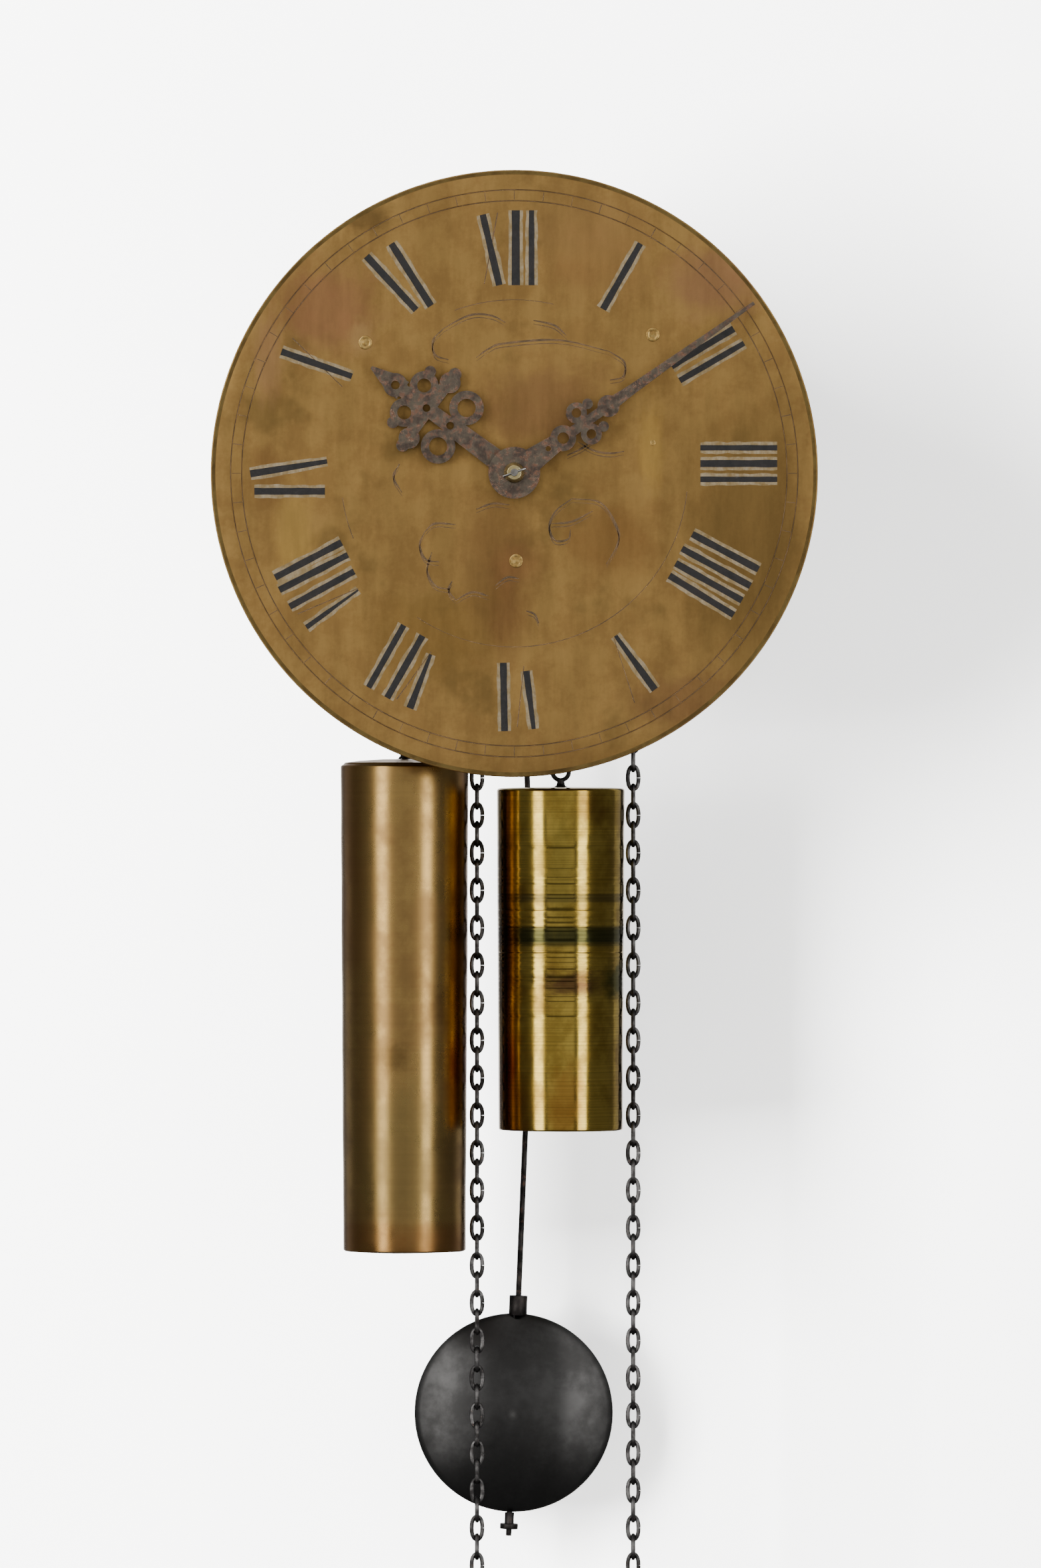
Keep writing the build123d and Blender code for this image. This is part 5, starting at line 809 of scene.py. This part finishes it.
# The worn scrolls round the dial's middle, each as places right and up of it.
SCROLLS: tuple[tuple[Pair, ...], ...] = (
    ((-29.7, 60.5), (-22.0, 64.8), (-15.9, 66.6), (-9.0, 65.8), (-3.7, 63.1)),
    ((-15.9, 48.4), (-10.5, 52.2), (-3.7, 54.4), (18.8, 55.7), (39.7, 51.0)),
    ((-29.7, 60.5), (-34.0, 55.5), (-33.0, 49.5), (-27.5, 47.5)),
    ((39.7, 51.0), (46.0, 46.5), (45.5, 40.5), (40.0, 39.0)),
    ((-15.9, -15.0), (-9.0, -12.6), (-2.0, -13.2)),
    ((-37.5, -24.5), (-33.2, -21.0), (-24.5, -21.4)),
    ((-37.5, -24.5), (-39.6, -30.0), (-37.0, -36.0), (-31.5, -37.0)),
    ((-34.5, -33.0), (-36.5, -40.5), (-33.0, -47.0), (-27.0, -48.5)),
    ((15.4, -21.0), (24.0, -20.2), (32.7, -15.8)),
    ((24.1, -10.6), (36.2, -12.4), (43.1, -22.8), (43.1, -29.7), (38.5, -38.0)),
    ((24.1, -10.6), (17.6, -15.5), (14.6, -22.0), (17.0, -28.0), (22.5, -27.5), (23.5, -23.5)),
    ((-24.5, -53.1), (-17.6, -49.7), (-10.6, -51.4)),
    ((-24.5, -53.1), (-27.5, -49.0), (-26.0, -45.0)),
    ((5.0, -57.5), (8.5, -59.0), (10.2, -62.7)),
    ((26.5, 13.3), (33.0, 9.6), (40.0, 8.4), (45.9, 9.2)),
    ((22.0, 7.5), (28.5, 10.6), (34.0, 14.8)),
    ((-8.0, -47.0), (-3.0, -43.5), (2.0, -44.0)),
    ((8.0, 64.0), (16.5, 62.0), (22.0, 57.5)),
    ((-47.0, -8.0), (-50.5, -1.5), (-48.0, 4.0)),
)

# How far below its top each ring was turned into the right weight.
RIGHT_WEIGHT_RINGS: tuple[float, ...] = (
    26.0, 34.5, 38.2, 41.0, 45.5, 47.1, 52.0, 55.3, 57.5, 59.2, 61.0, 64.8, 66.5, 69.9, 72.0, 74.1, 77.0,
    80.5, 82.2, 85.0, 88.6, 90.5, 97.0,
)


@dataclass
class Dial:
    """The brass dial: engraved circles, numerals filled with wax, worn scrolls, rivets and feet."""

    rise: float = 0.06
    line_rise: float = 0.012
    bore: float = 6.2
    minute_circles: Pair = (118.6, 114.0)
    chapter_circle: float = 72.6
    chapter_arcs: tuple[Pair, ...] = ((-20.0, 13.0), (96.0, 214.0), (248.0, 262.0))
    groove_width: float = 0.5
    groove_floor: float = 0.2
    groove_depth: float = 0.14
    rear_chamfer: float = 0.3
    buried: float = 0.1
    rim_round: float = 0.5
    rim_inset: float = 0.45
    rim_band: float = 1.5
    rim_slope: float = 0.05
    rim_rise: float = 0.03
    bar_width: float = 2.9
    bar_steps: int = 14
    bar_shake: float = 0.14
    hairline: float = 1.0
    halo: float = 1.3
    halo_shake: float = 0.4
    cut_margin: float = 0.4
    cut_widths: Pair = (0.18, 0.3)
    circle_widths: Pair = (0.3, 0.16)
    least_width: float = 0.08
    lift: float = 0.002
    scroll_lines: tuple[Pair, ...] = ((0.0, 0.72), (1.5, 0.3))
    rivet_radius: float = 2.9
    rivet_rise: float = 0.25
    rivets: tuple[tuple[float, float, float], ...] = (
        (-62.3, 54.7, 1.0), (57.9, 58.0, 1.0), (0.7, -36.6, 1.0), (57.9, 12.8, 0.42),
    )
    rivet_profile: tuple[Pair, ...] = (
        (1.0, 0.2), (0.93, 0.75), (0.8, 1.0), (0.66, 0.8), (0.58, 0.35), (0.5, 0.3), (0.36, 0.6), (0.18, 0.8),
        (0.0, 0.85),
    )

    def __post_init__(self) -> None:
        """Read the dial's place from the frame."""
        span = Span.of("dial_plate")
        self.centre = span.centre
        self.middle = (self.centre.x, self.centre.z)
        self.axis = (self.centre.x, 0.0, self.centre.z)
        self.radius = span.size.x / 2
        self.front, self.rear = span.low.y, span.high.y

    def build(self) -> None:
        """Make the plate, its numerals, its engraving, its rivets and its feet."""
        self.make_plate()
        self.make_numerals()
        self.make_minutes()
        self.make_scrolls()
        self.make_rivets()
        dress("dial_feet", PLATE_BRASS, 0.1)

    def make_plate(self) -> None:
        """The disc, with a bore, a rounded rim edged by a dark band of painted shade, and a groove for each
        circle.
        """
        chamfer = self.rear_chamfer
        profile = [(self.bore, self.rear), (self.radius - chamfer, self.rear)]
        profile.append((self.radius, self.rear - chamfer))
        rim_start = self.front + self.rim_round
        for step in range(5):
            turn = math.radians(90 * step / 4)
            inset = self.rim_round * (1 - math.cos(turn))
            profile.append((self.radius - inset, rim_start - self.rim_round * math.sin(turn)))
        half, floor = self.groove_width / 2, self.groove_floor / 2
        bottom = self.front + self.groove_depth
        for at in self.minute_circles:
            profile += [(at + half, self.front), (at + floor, bottom)]
            profile += [(at - floor, bottom), (at - half, self.front)]
        profile.append((self.bore, self.front))
        form = Form()
        form.turn(profile, self.axis, Way.DEPTH, 360, ring=True)
        form.piece("dial_face", "frame", DIAL_BRASS, "dial_brass", ["dial_plate"], sharp=28.0)
        # The dark band round the edge of the face is painted shade of the rim.
        out, foot, top = self.radius - self.rim_inset, self.front + self.buried, self.front - self.rim_rise
        inner, slope = out - self.rim_band, self.rim_slope
        band = [(out, foot), (out - slope, top), (inner, top), (inner - slope, foot)]
        rim = Form()
        rim.turn(band, self.axis, Way.DEPTH, 360, ring=True)
        rim.piece("painted_shade_rim", "frame", RIM_SHADE_BRASS, "dial_brass", centre=self.centre)

    def make_numerals(self) -> None:
        """Hour numerals in black wax, each bar with a pale band beside it, a painted highlight of the glint
        at its edges.
        """
        wax, wash, hair = Form(), Form(), Form()
        for hour, bars in BARS.items():
            for number, (outer, outer_across, inner, inner_across, *ends) in enumerate(bars):
                outer_width, inner_width = ends or (self.bar_width, self.bar_width)
                line, widths = [], []
                for step in range(self.bar_steps + 1):
                    share = step / self.bar_steps
                    along = outer + (inner - outer) * share
                    across = outer_across + (inner_across - outer_across) * share
                    line.append(on_bearing(self.middle, 30 * hour, along, across))
                    shake = noise.noise(Vector((hour * 7.3, number * 3.1, 4.0 * share)))
                    even = outer_width + (inner_width - outer_width) * share
                    widths.append(even * (1 + self.bar_shake * shake))
                lift = self.lift * number
                if outer_width < self.hairline:
                    hair.inlay(line, widths, self.front, self.rise / 2 + lift)
                    continue
                wax.inlay(line, widths, self.front, self.rise + lift)
                # A wider pale band under each bar: painted highlight of the glint at its engraved edges.
                worn = []
                for k, width in enumerate(widths):
                    shake = noise.noise(Vector((hour * 3.7, number * 5.3, 0.6 * k)))
                    worn.append(width + 2 * self.halo * (1 + self.halo_shake * shake))
                wash.inlay(line, worn, self.front, self.rise / 4 + lift)
        wax.piece("numeral_wax", "frame", BLACK_WAX, "dial_brass")
        hair.piece("numeral_hairlines", "frame", OLD_LINE, "dial_brass")
        wash.piece("numeral_painted_glint", "frame", NUMERAL_GLINT_PAINT, "dial_brass")

    def make_minutes(self) -> None:
        """A short faint cut for each minute between the outer circles, and old wax in every circle."""
        cuts = Form()
        outer, inner = self.minute_circles
        for minute in range(60):
            wear = 0.5 + 0.5 * noise.noise(Vector((0.9 * minute, 2.0, 5.0)))
            ends = (outer - self.cut_margin, inner + self.cut_margin)
            line = [on_bearing(self.middle, 6 * minute, radius) for radius in ends]
            width = self.cut_widths[0] + self.cut_widths[1] * wear
            cuts.inlay(line, [width] * 2, self.front, self.line_rise)
        arcs = [(radius, 0.0, 360.0) for radius in self.minute_circles]
        arcs += [(self.chapter_circle, start, end) for start, end in self.chapter_arcs]
        for radius, start, end in arcs:
            count = round((end - start) / 2)
            turns = [start + (end - start) * k / count for k in range(count + 1)]
            even, shake = self.circle_widths
            worn = [even + shake * noise.noise(Vector((0.21 * k, radius, 1.0))) for k in range(count + 1)]
            line = [on_bearing(self.middle, t, radius) for t in turns]
            cuts.inlay(line, worn, self.front, self.line_rise)
        cuts.piece("minute_ring_lines", "frame", OLD_LINE, "dial_brass")

    def make_scrolls(self) -> None:
        """Worn scroll engraving over the middle of the dial, each scroll cut as a pair of thin lines."""
        form = Form()
        right, up = self.middle
        for number, spots in enumerate(SCROLLS):
            for gap, width in self.scroll_lines:
                line = smooth([(right + x, up + z - gap) for x, z in spots])
                last = len(line) - 1
                widths = []
                for k in range(last + 1):
                    shake = noise.noise(Vector((number, gap, 0.4 * k)))
                    worn = width * (0.5 + 0.8 * math.sin(math.pi * k / last) + 0.5 * shake)
                    widths.append(max(worn, self.least_width))
                form.inlay(line, widths, self.front, self.line_rise)
        form.piece("worn_scroll_engraving", "frame", OLD_LINE, "dial_brass")

    def make_rivets(self) -> None:
        """The hammered heads that hold the dial to its feet, and one small filled hole."""
        form = Form()
        for right, up, scale in self.rivets:
            radius, rise = self.rivet_radius * scale, self.rivet_rise * scale
            profile = [(radius, self.front + self.buried)]
            profile += [(radius * share, self.front - rise * high) for share, high in self.rivet_profile]
            form.turn(profile, (self.centre.x + right, 0.0, self.centre.z + up), Way.DEPTH, 40)
        form.piece("dial_rivet_heads", "frame", RIVET_BRASS, "dial_brass", sharp=80.0, dent=(0.1, 1.7))


@dataclass
class Chain:
    """Round wire links, each bent to an oval with its two ends meeting on one side."""

    pitch: float = 7.95
    slack: float = 0.05
    width: float = 6.4
    wire: float = 1.8
    squareness: float = 0.92
    link_steps: int = 22
    links_per_turn: int = 12
    free_links: int = 58
    gap_turn: float = 0.008
    open_turn: float = 0.5
    opened_link: int = 43
    ring_radius: float = 9.0
    ring_wire: float = 2.2
    ring_steps: int = 48

    def __post_init__(self) -> None:
        """Work out the wheels' size and the chains' depth."""
        self.wheel_radius = self.pitch / (2 * math.sin(math.pi / self.links_per_turn))
        self.depth = Span.of("going_free_chain").centre.y

    def link(self, form: Form, middle: Point, lean: float, face_on: bool, gap: float) -> None:
        """Add one link.

        Args:
            form: what it is added to.
            middle: the link's middle.
            lean: how far it leans clockwise, in degrees.
            face_on: whether its opening faces the reader.
            gap: half the angle of the gap between its ends.
        """
        half_width = (self.width - self.wire) / 2
        half_length = (self.pitch + self.slack + self.wire) / 2
        quarter = Matrix.Rotation(0 if face_on else math.pi / 2, 3, "Z")
        turn = Matrix.Rotation(math.radians(lean), 3, "Y") @ quarter
        path = []
        for step in range(self.link_steps + 1):
            angle = gap + (2 * math.pi - 2 * gap) * step / self.link_steps
            shares = (math.cos(angle), math.sin(angle))
            across, up = (math.copysign(abs(share) ** self.squareness, share) for share in shares)
            path.append(Vector(middle) + turn @ Vector((half_width * across, 0, half_length * up)))
        form.sweep(path, self.wire / 2, 8, facing=turn @ Vector((0, 1, 0)))

    def strand(
        self, form: Form, x: float, top: float, count: int, first_face_on: bool, opened: int = -1
    ) -> None:
        """Add links that hang straight down.

        Args:
            form: what they are added to.
            x: where the strand hangs.
            top: the height of its top.
            count: how many links it has.
            first_face_on: whether its top link faces the reader.
            opened: which link has been pulled open, if one has.
        """
        for k in range(count):
            face_on = first_face_on == (k % 2 == 0)
            gap = self.open_turn if k == opened else self.gap_turn
            self.link(form, (x, self.depth, top - self.pitch * (k + 0.5)), 0.0, face_on, gap)

    def build(self) -> None:
        """Make what both chains have on the frame's side: the links over the wheels and the free ends."""
        over = Form()
        half = self.links_per_turn // 2
        apothem = self.wheel_radius * math.cos(math.pi / self.links_per_turn)
        for side in ("going", "strike"):
            wheel = Span.of(side + "_chain_wheel").centre
            for k in range(half):
                turn = -90 + 180 * (k + 0.5) / half
                x, z = on_bearing((wheel.x, wheel.z), turn, apothem)
                self.link(over, (x, self.depth, z), turn + 90, k % 2 == 0, self.gap_turn)
            free, chain = Form(), side + "_free_chain"
            x = wheel.x + self.wheel_radius
            self.strand(free, x, wheel.z, self.free_links, True, self.opened_link if side == "strike" else -1)
            ring_z = Span.of(chain).low.z + self.ring_radius + self.ring_wire / 2
            path = []
            for k in range(self.ring_steps):
                turn = 2 * math.pi * k / self.ring_steps
                right, up = self.ring_radius * math.cos(turn), self.ring_radius * math.sin(turn)
                path.append((x + right, self.depth, ring_z + up))
            free.sweep(path, self.ring_wire / 2, 12, closed=True, facing=(0, 1, 0))
            free.piece(side + "_free_links", chain, CHAIN_STEEL, "chain_steel", [chain])
        over.piece("links_over_wheels", "frame", CHAIN_STEEL, "chain_steel", ["chains_over_wheels"])


@dataclass
class Weight:
    """One lead-filled brass weight, with its iron eye and the chain that it hangs from."""

    side: str
    chain: Chain
    finish: Metal
    slot: str
    links: int
    eye_length: float
    stem: float
    dome: float
    eye_width: float = 8.8
    eye_wire: float = 1.9
    bend_steps: int = 12
    stem_radii: tuple[float, ...] = (3.0, 1.9, 1.6, 1.5)
    stem_heights: tuple[float, ...] = (0.0, 0.25, 0.6, 1.0)
    crown: tuple[Pair, ...] = ((0.0, 0.0), (0.35, 0.04), (0.7, 0.3))
    shoulder_round: float = 1.1
    foot_round: float = 0.8
    taper: float = 1.2 / 206.0
    side_steps: int = 40
    rings: tuple[float, ...] = ()
    ring_depth: float = 0.07
    ring_edge: float = 0.25
    ring_floor: float = 0.08

    def build(self) -> None:
        """Make the links and the eye, then turn the brass."""
        wheel = Span.of(self.side + "_chain_wheel").centre
        x = wheel.x - self.chain.wheel_radius
        body = self.side + "_weight"
        form = Form()
        self.chain.strand(form, x, wheel.z, self.links, False)
        self.add_eye(form, x, wheel.z - self.links * self.chain.pitch + self.chain.slack / 2)
        form.piece(body + "_links", body, CHAIN_STEEL, "chain_steel", [body + "_chain"])
        self.turn_brass(body)

    def add_eye(self, form: Form, x: float, top: float) -> None:
        """Add the bent iron eye and its stem.

        Args:
            form: what it is added to.
            x: where it hangs.
            top: the inside of its top bend.
        """
        radius = (self.eye_width - self.eye_wire) / 2
        high = top + self.eye_wire / 2 - radius
        low = top - self.eye_length - self.eye_wire / 2 + radius
        path = []
        for middle, start in ((high, 0.0), (low, math.pi)):
            for step in range(self.bend_steps + 1):
                turn = start + math.pi * step / self.bend_steps
                path.append((x + radius * math.cos(turn), self.chain.depth, middle + radius * math.sin(turn)))
        form.sweep(path, self.eye_wire / 2, 12, closed=True, facing=(0, 1, 0))
        foot = top - self.eye_length - self.eye_wire - self.stem
        heights = [foot + share * (self.stem + 1.0) for share in self.stem_heights]
        form.sweep([(x, self.chain.depth, z) for z in heights], self.stem_radii, 14)

    def turn_brass(self, body: str) -> None:
        """Turn the brass: domed top, eased shoulder, straight side with its rings, and a rolled foot.

        Args:
            body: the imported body, which has the weight's own name.
        """
        span = Span.of(body)
        radius = span.size.x / 2
        top, bottom = span.high.z, span.low.z
        shoulder = top - self.dome
        ease = self.shoulder_round
        foot_radius = radius - self.taper * (shoulder - bottom)
        profile = [(share * radius, top - fall * self.dome) for share, fall in self.crown]
        profile.append((radius - 1.6 * ease, shoulder + 0.35 * self.dome))
        for step in range(6):
            turn = math.radians(90 * step / 5)
            profile.append((radius - ease + ease * math.sin(turn), shoulder - ease + ease * math.cos(turn)))
        long = shoulder - ease - bottom
        side = []
        for step in range(1, self.side_steps):
            share = step / self.side_steps
            side.append((radius + (foot_radius - radius) * share, shoulder - ease - long * share))
        for height in (top - ring for ring in sorted(self.rings)):
            at = radius + (foot_radius - radius) * (shoulder - ease - height) / long
            cut = at - self.ring_depth
            side += [(at, height + self.ring_edge), (cut, height + self.ring_floor)]
            side += [(cut, height - self.ring_floor), (at, height - self.ring_edge)]
        profile += sorted(side, key=lambda p: -p[1])
        foot = self.foot_round
        for step in range(5):
            turn = math.radians(90 * step / 4)
            across, up = foot * math.cos(turn), foot * math.sin(turn)
            profile.append((foot_radius - foot + across, bottom + foot - up))
        profile += [(0.8 * foot_radius, bottom), (0.78 * foot_radius, bottom + 0.5), (0.0, bottom + 0.5)]
        axis = (span.centre.x, span.centre.y, 0.0)
        form = Form()
        form.turn(profile, axis, Way.UPRIGHT, 128)
        form.piece(body + "_shell", body, self.finish, self.slot, [body], axis, dent=(0.12, 24.0))


@dataclass
class Dressed:
    """A sub-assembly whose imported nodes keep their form.

    Each group holds a finish, the width of its broken edges in millimetres, and the nodes' names.
    """

    groups: Groups = ()

    def build(self) -> None:
        """Dress every node of every group."""
        for finish, edge, nodes in self.groups:
            for node in nodes.split():
                dress(node, finish, edge)


@dataclass
class Hands(Dressed):
    """The two iron hands, and the collet and pin that hold them."""

    groups: Groups = (
        (HAND_IRON, 0.35, "hour_hand minute_hand"),
        (COLLET_BRASS, 0.12, "hand_collet"),
        (ARBOR_STEEL, 0.1, "hand_pin"),
    )


@dataclass
class Pendulum(Dressed):
    """The pendulum: blued spring, brass clamp, iron rod, blackened bob and nut."""

    groups: Groups = (
        (SPRING_STEEL, 0.0, "suspension_spring"),
        (PLATE_BRASS, 0.2, "spring_clamp"),
        (FORGED_IRON, 0.0, "pendulum_rod"),
        (FORGED_IRON, 0.2, "bob_collar rating_nut"),
        (BOB_IRON, 0.3, "pendulum_bob"),
    )


@dataclass
class Movement(Dressed):
    """The movement: its frame and screws, the wheels of both trains, and their arbors."""

    groups: Groups = (
        (PLATE_BRASS, 0.35, "front_plate back_plate"),
        (PLATE_BRASS, 0.25, "plate_pillars"),
        (PLATE_BRASS, 0.3, "back_cock"),
        (PLATE_BRASS, 0.15, "suspension_block"),
        (PLATE_BRASS, 0.2, "hour_bridge"),
        (ARBOR_STEEL, 0.12, "taper_pins frame_screws wheel_posts anchor hammer strike_detent"),
        (
            WHEEL_BRASS, 0.08,
            "centre_wheel cannon_pipe hour_wheel minute_wheel going_great_wheel going_chain_wheel "
            "third_wheel escape_wheel strike_great_wheel strike_chain_wheel count_wheel pin_wheel "
            "locking_wheel warning_wheel fly",
        ),
        (
            ARBOR_STEEL, 0.08,
            "centre_arbor going_great_arbor going_click third_arbor escape_arbor pallet_arbor "
            "strike_great_arbor strike_click pin_arbor locking_arbor",
        ),
    )


@dataclass
class WallFixings(Dressed):
    """The iron hoop and the two spikes that hold the clock to the wall."""

    groups: Groups = (
        (FORGED_IRON, 0.5, "hanging_hoop"),
        (FORGED_IRON, 0.25, "wall_spikes"),
    )


@dataclass
class Bell:
    """The bell over the plates and its iron stand."""

    wall: float = 2.0
    bore: float = 2.02
    crown: float = 6.0
    steps: int = 24
    arc: float = 88.0
    fullness: float = 0.75
    bead: float = 0.25
    bead_steps: tuple[int, ...] = (3, 4, 9)

    def build(self) -> None:
        """Turn the bell as one smooth shell with two turned beads, and dress its stand."""
        span = Span.of("bell")
        radius, mouth, top = span.size.x / 2, span.low.z, span.high.z
        height = top - mouth
        outside, inside = [], []
        for step in range(self.steps + 1):
            turn = math.radians(self.arc * step / self.steps)
            flare = math.cos(turn) ** self.fullness
            bead = self.bead if step in self.bead_steps else 0.0
            outside.append((radius * flare - bead, mouth + height * math.sin(turn)))
            inside.append(((radius - self.wall) * flare, mouth + (height - self.wall) * math.sin(turn)))
        for side, level in ((outside, top), (inside, top - self.wall)):
            side += [(self.crown, level), (self.bore, level)]
        axis = (span.centre.x, span.centre.y, 0.0)
        form = Form()
        form.turn(outside + inside[::-1], axis, Way.UPRIGHT, 128, ring=True)
        form.piece("bell_shell", "frame", BELL_METAL, "bell_metal", ["bell"], axis)
        dress("bell_stand", FORGED_IRON, 0.3)


@dataclass
class Studio:
    """Wall, floor, lights and camera: what the clock is looked at with.

    The camera's lengths are millimetres, and those of the wall, the floor and the lights are metres.
    """

    camera_right: float = 2.6
    camera_up: float = -202.9
    camera_distance: float = 4000.0
    frame_height: float = 655.7
    sensor: float = 36.0
    wall_y: float = 0.001
    wall_reach: float = 3.0
    wall_top: float = 2.4
    floor_z: float = -0.64
    floor_reach: float = 5.0
    floor_front: float = -6.0
    wall_glow: float = 1.2
    aim: Point = (0.0, -0.1, -0.2)
    # Name, bearing from the camera's in degrees to the right, distance, width and height, watts, rise.
    soft_boxes: tuple[tuple[str, float, float, Pair, float, float], ...] = (
        ("left_soft_box", -41.0, 2.3, (0.7, 3.0), 42.0, 0.25),
        ("right_soft_box", 41.0, 2.3, (0.65, 3.0), 32.0, 0.25),
        ("front_fill", 0.0, 4.7, (4.4, 3.6), 23.0, 0.25),
        ("top_soft_box", -15.0, 1.3, (1.6, 0.9), 14.0, 2.0),
        ("rear_fill", 180.0, 3.0, (2.5, 2.5), 30.0, 0.25),
        ("left_edge_fill", -128.0, 2.6, (1.2, 3.0), 2.5, 0.25),
        ("right_edge_fill", 128.0, 2.6, (1.2, 3.0), 4.0, 0.25),
        ("wall_wash", -46.0, 2.8, (0.9, 2.8), 900.0, 0.25),
    )

    def build(self) -> None:
        """Set everything up."""
        self.make_wall()
        self.make_floor()
        self.make_lights()
        self.make_world()
        self.make_camera()

    def make_wall(self) -> None:
        """A pale wall that glows a little, and shows from its front alone."""
        plain = Coating(
            "painted_plaster_wall", clean="#f4f4f3", dull="#f1f1f0", deep="#efefee", patch=400.0,
            rough=(0.9, 0.95), grain=2.0,
        ).material()
        reach, low, high = self.wall_reach, self.floor_z, self.wall_top
        corners = [(-reach, self.wall_y, low), (reach, self.wall_y, low)]
        corners += [(reach, self.wall_y, high), (-reach, self.wall_y, high)]
        wall = self.stage_plane("studio_wall", corners, plain)
        tree = plain.node_tree
        output = tree.nodes["Material Output"]
        front = output.inputs["Surface"].links[0].from_socket
        glow = add_node(tree, "Emission", {"Color": to_linear("#f8f8f8"), "Strength": self.wall_glow})
        lit = add_node(tree, "AddShader", {0: front, 1: glow.outputs[0]})
        behind = add_node(tree, "NewGeometry").outputs["Backfacing"]
        clear = add_node(tree, "BsdfTransparent")
        one_sided = add_node(tree, "MixShader", {0: behind, 1: lit.outputs[0], 2: clear.outputs[0]})
        tree.links.new(one_sided.outputs[0], output.inputs["Surface"])
        self.backdrop = bpy.data.collections.new("backdrop")
        self.backdrop.objects.link(wall)

    def make_floor(self) -> None:
        """A pale floor below the clock."""
        board = Coating(
            "painted_board_floor", clean="#e9e8e5", dull="#e3e2df", deep="#dddcd8", patch=300.0,
            rough=(0.7, 0.8), grain=3.0, depth=0.03,
        ).material()
        reach, front, z = self.floor_reach, self.floor_front, self.floor_z
        corners = [(-reach, front, z), (reach, front, z), (reach, reach, z), (-reach, reach, z)]
        self.stage_plane("studio_floor", corners, board)

    def stage_plane(
        self, name: str, corners: Sequence[Point], material: bpy.types.Material
    ) -> bpy.types.Object:
        """Make one flat piece of the studio, which metal doesn't mirror.

        Args:
            name: its name.
            corners: its four corners.
            material: its surface.

        Returns:
            The piece.
        """
        mesh = bpy.data.meshes.new(name)
        mesh.from_pydata([Vector(c) for c in corners], [], [(0, 1, 2, 3)])
        mesh.materials.append(material)
        made = bpy.data.objects.new(name, mesh)
        bpy.context.scene.collection.objects.link(made)
        made.visible_glossy = False
        return made

    def make_lights(self) -> None:
        """Two tall soft boxes, weak ones before, above, behind and at the edges, and one for the wall."""
        for name, bearing, away, size, power, rise in self.soft_boxes:
            aim = Vector(self.aim)
            turn = math.radians(bearing)
            spot = aim + Vector((away * math.sin(turn), -away * math.cos(turn), rise))
            data = bpy.data.lights.new(name, "AREA")
            data.shape = "RECTANGLE"
            data.size, data.size_y = size
            data.energy = power
            lamp = bpy.data.objects.new(name, data)
            lamp.location = spot
            lamp.rotation_euler = (aim - spot).to_track_quat("-Z", "Y").to_euler()
            lamp.visible_camera = False
            bpy.context.scene.collection.objects.link(lamp)
            if name == "wall_wash":
                lamp.light_linking.receiver_collection = self.backdrop

    def make_world(self) -> None:
        """Dim, even light from all round, and a pale ground behind everything."""
        world = bpy.data.worlds.new("studio_air")
        world.use_nodes = True
        tree = world.node_tree
        tree.nodes.clear()
        seen = add_node(tree, "LightPath").outputs["Is Camera Ray"]
        air = add_node(tree, "Background", {"Color": to_linear("#ffffff"), "Strength": 0.15})
        ground = add_node(tree, "Background", {"Color": to_linear("#f1f1f0"), "Strength": 1.0})
        both = add_node(tree, "MixShader", {0: seen, 1: air.outputs[0], 2: ground.outputs[0]})
        add_node(tree, "OutputWorld", {"Surface": both.outputs[0]})
        bpy.context.scene.world = world

    def make_camera(self) -> None:
        """A long lens, level, in front of the middle of the picture."""
        data = bpy.data.cameras.new("camera")
        data.sensor_width = self.sensor
        data.lens = self.sensor * self.camera_distance / self.frame_height
        data.clip_end = 100.0
        camera = bpy.data.objects.new("camera", data)
        front = Span.of("dial_plate").low.y
        camera.location = Vector((self.camera_right, front - self.camera_distance, self.camera_up)) * METRES
        camera.rotation_euler = (math.radians(90), 0.0, 0.0)
        bpy.context.scene.collection.objects.link(camera)
        bpy.context.scene.camera = camera


def main() -> None:
    """Build every sub-assembly in order, then the studio round them."""
    logging.basicConfig(level=logging.INFO, format="%(message)s")
    chain = Chain()
    right_weight = Weight(
        "going", chain, RIGHT_WEIGHT_BRASS, "right_weight_brass", links=13, eye_length=12.0, stem=2.0,
        dome=0.6, rings=RIGHT_WEIGHT_RINGS,
    )
    left_weight = Weight(
        "strike", chain, LEFT_WEIGHT_BRASS, "left_weight_brass", links=11, eye_length=14.0, stem=4.0, dome=2.4
    )
    assemblies = (
        Dial(), Hands(), chain, right_weight, left_weight, Pendulum(), Movement(), Bell(), WallFixings(),
        Studio(),
    )
    for assembly in assemblies:
        assembly.build()
        LOG.info("built %s", type(assembly).__name__)


if __name__ == "__main__":
    main()
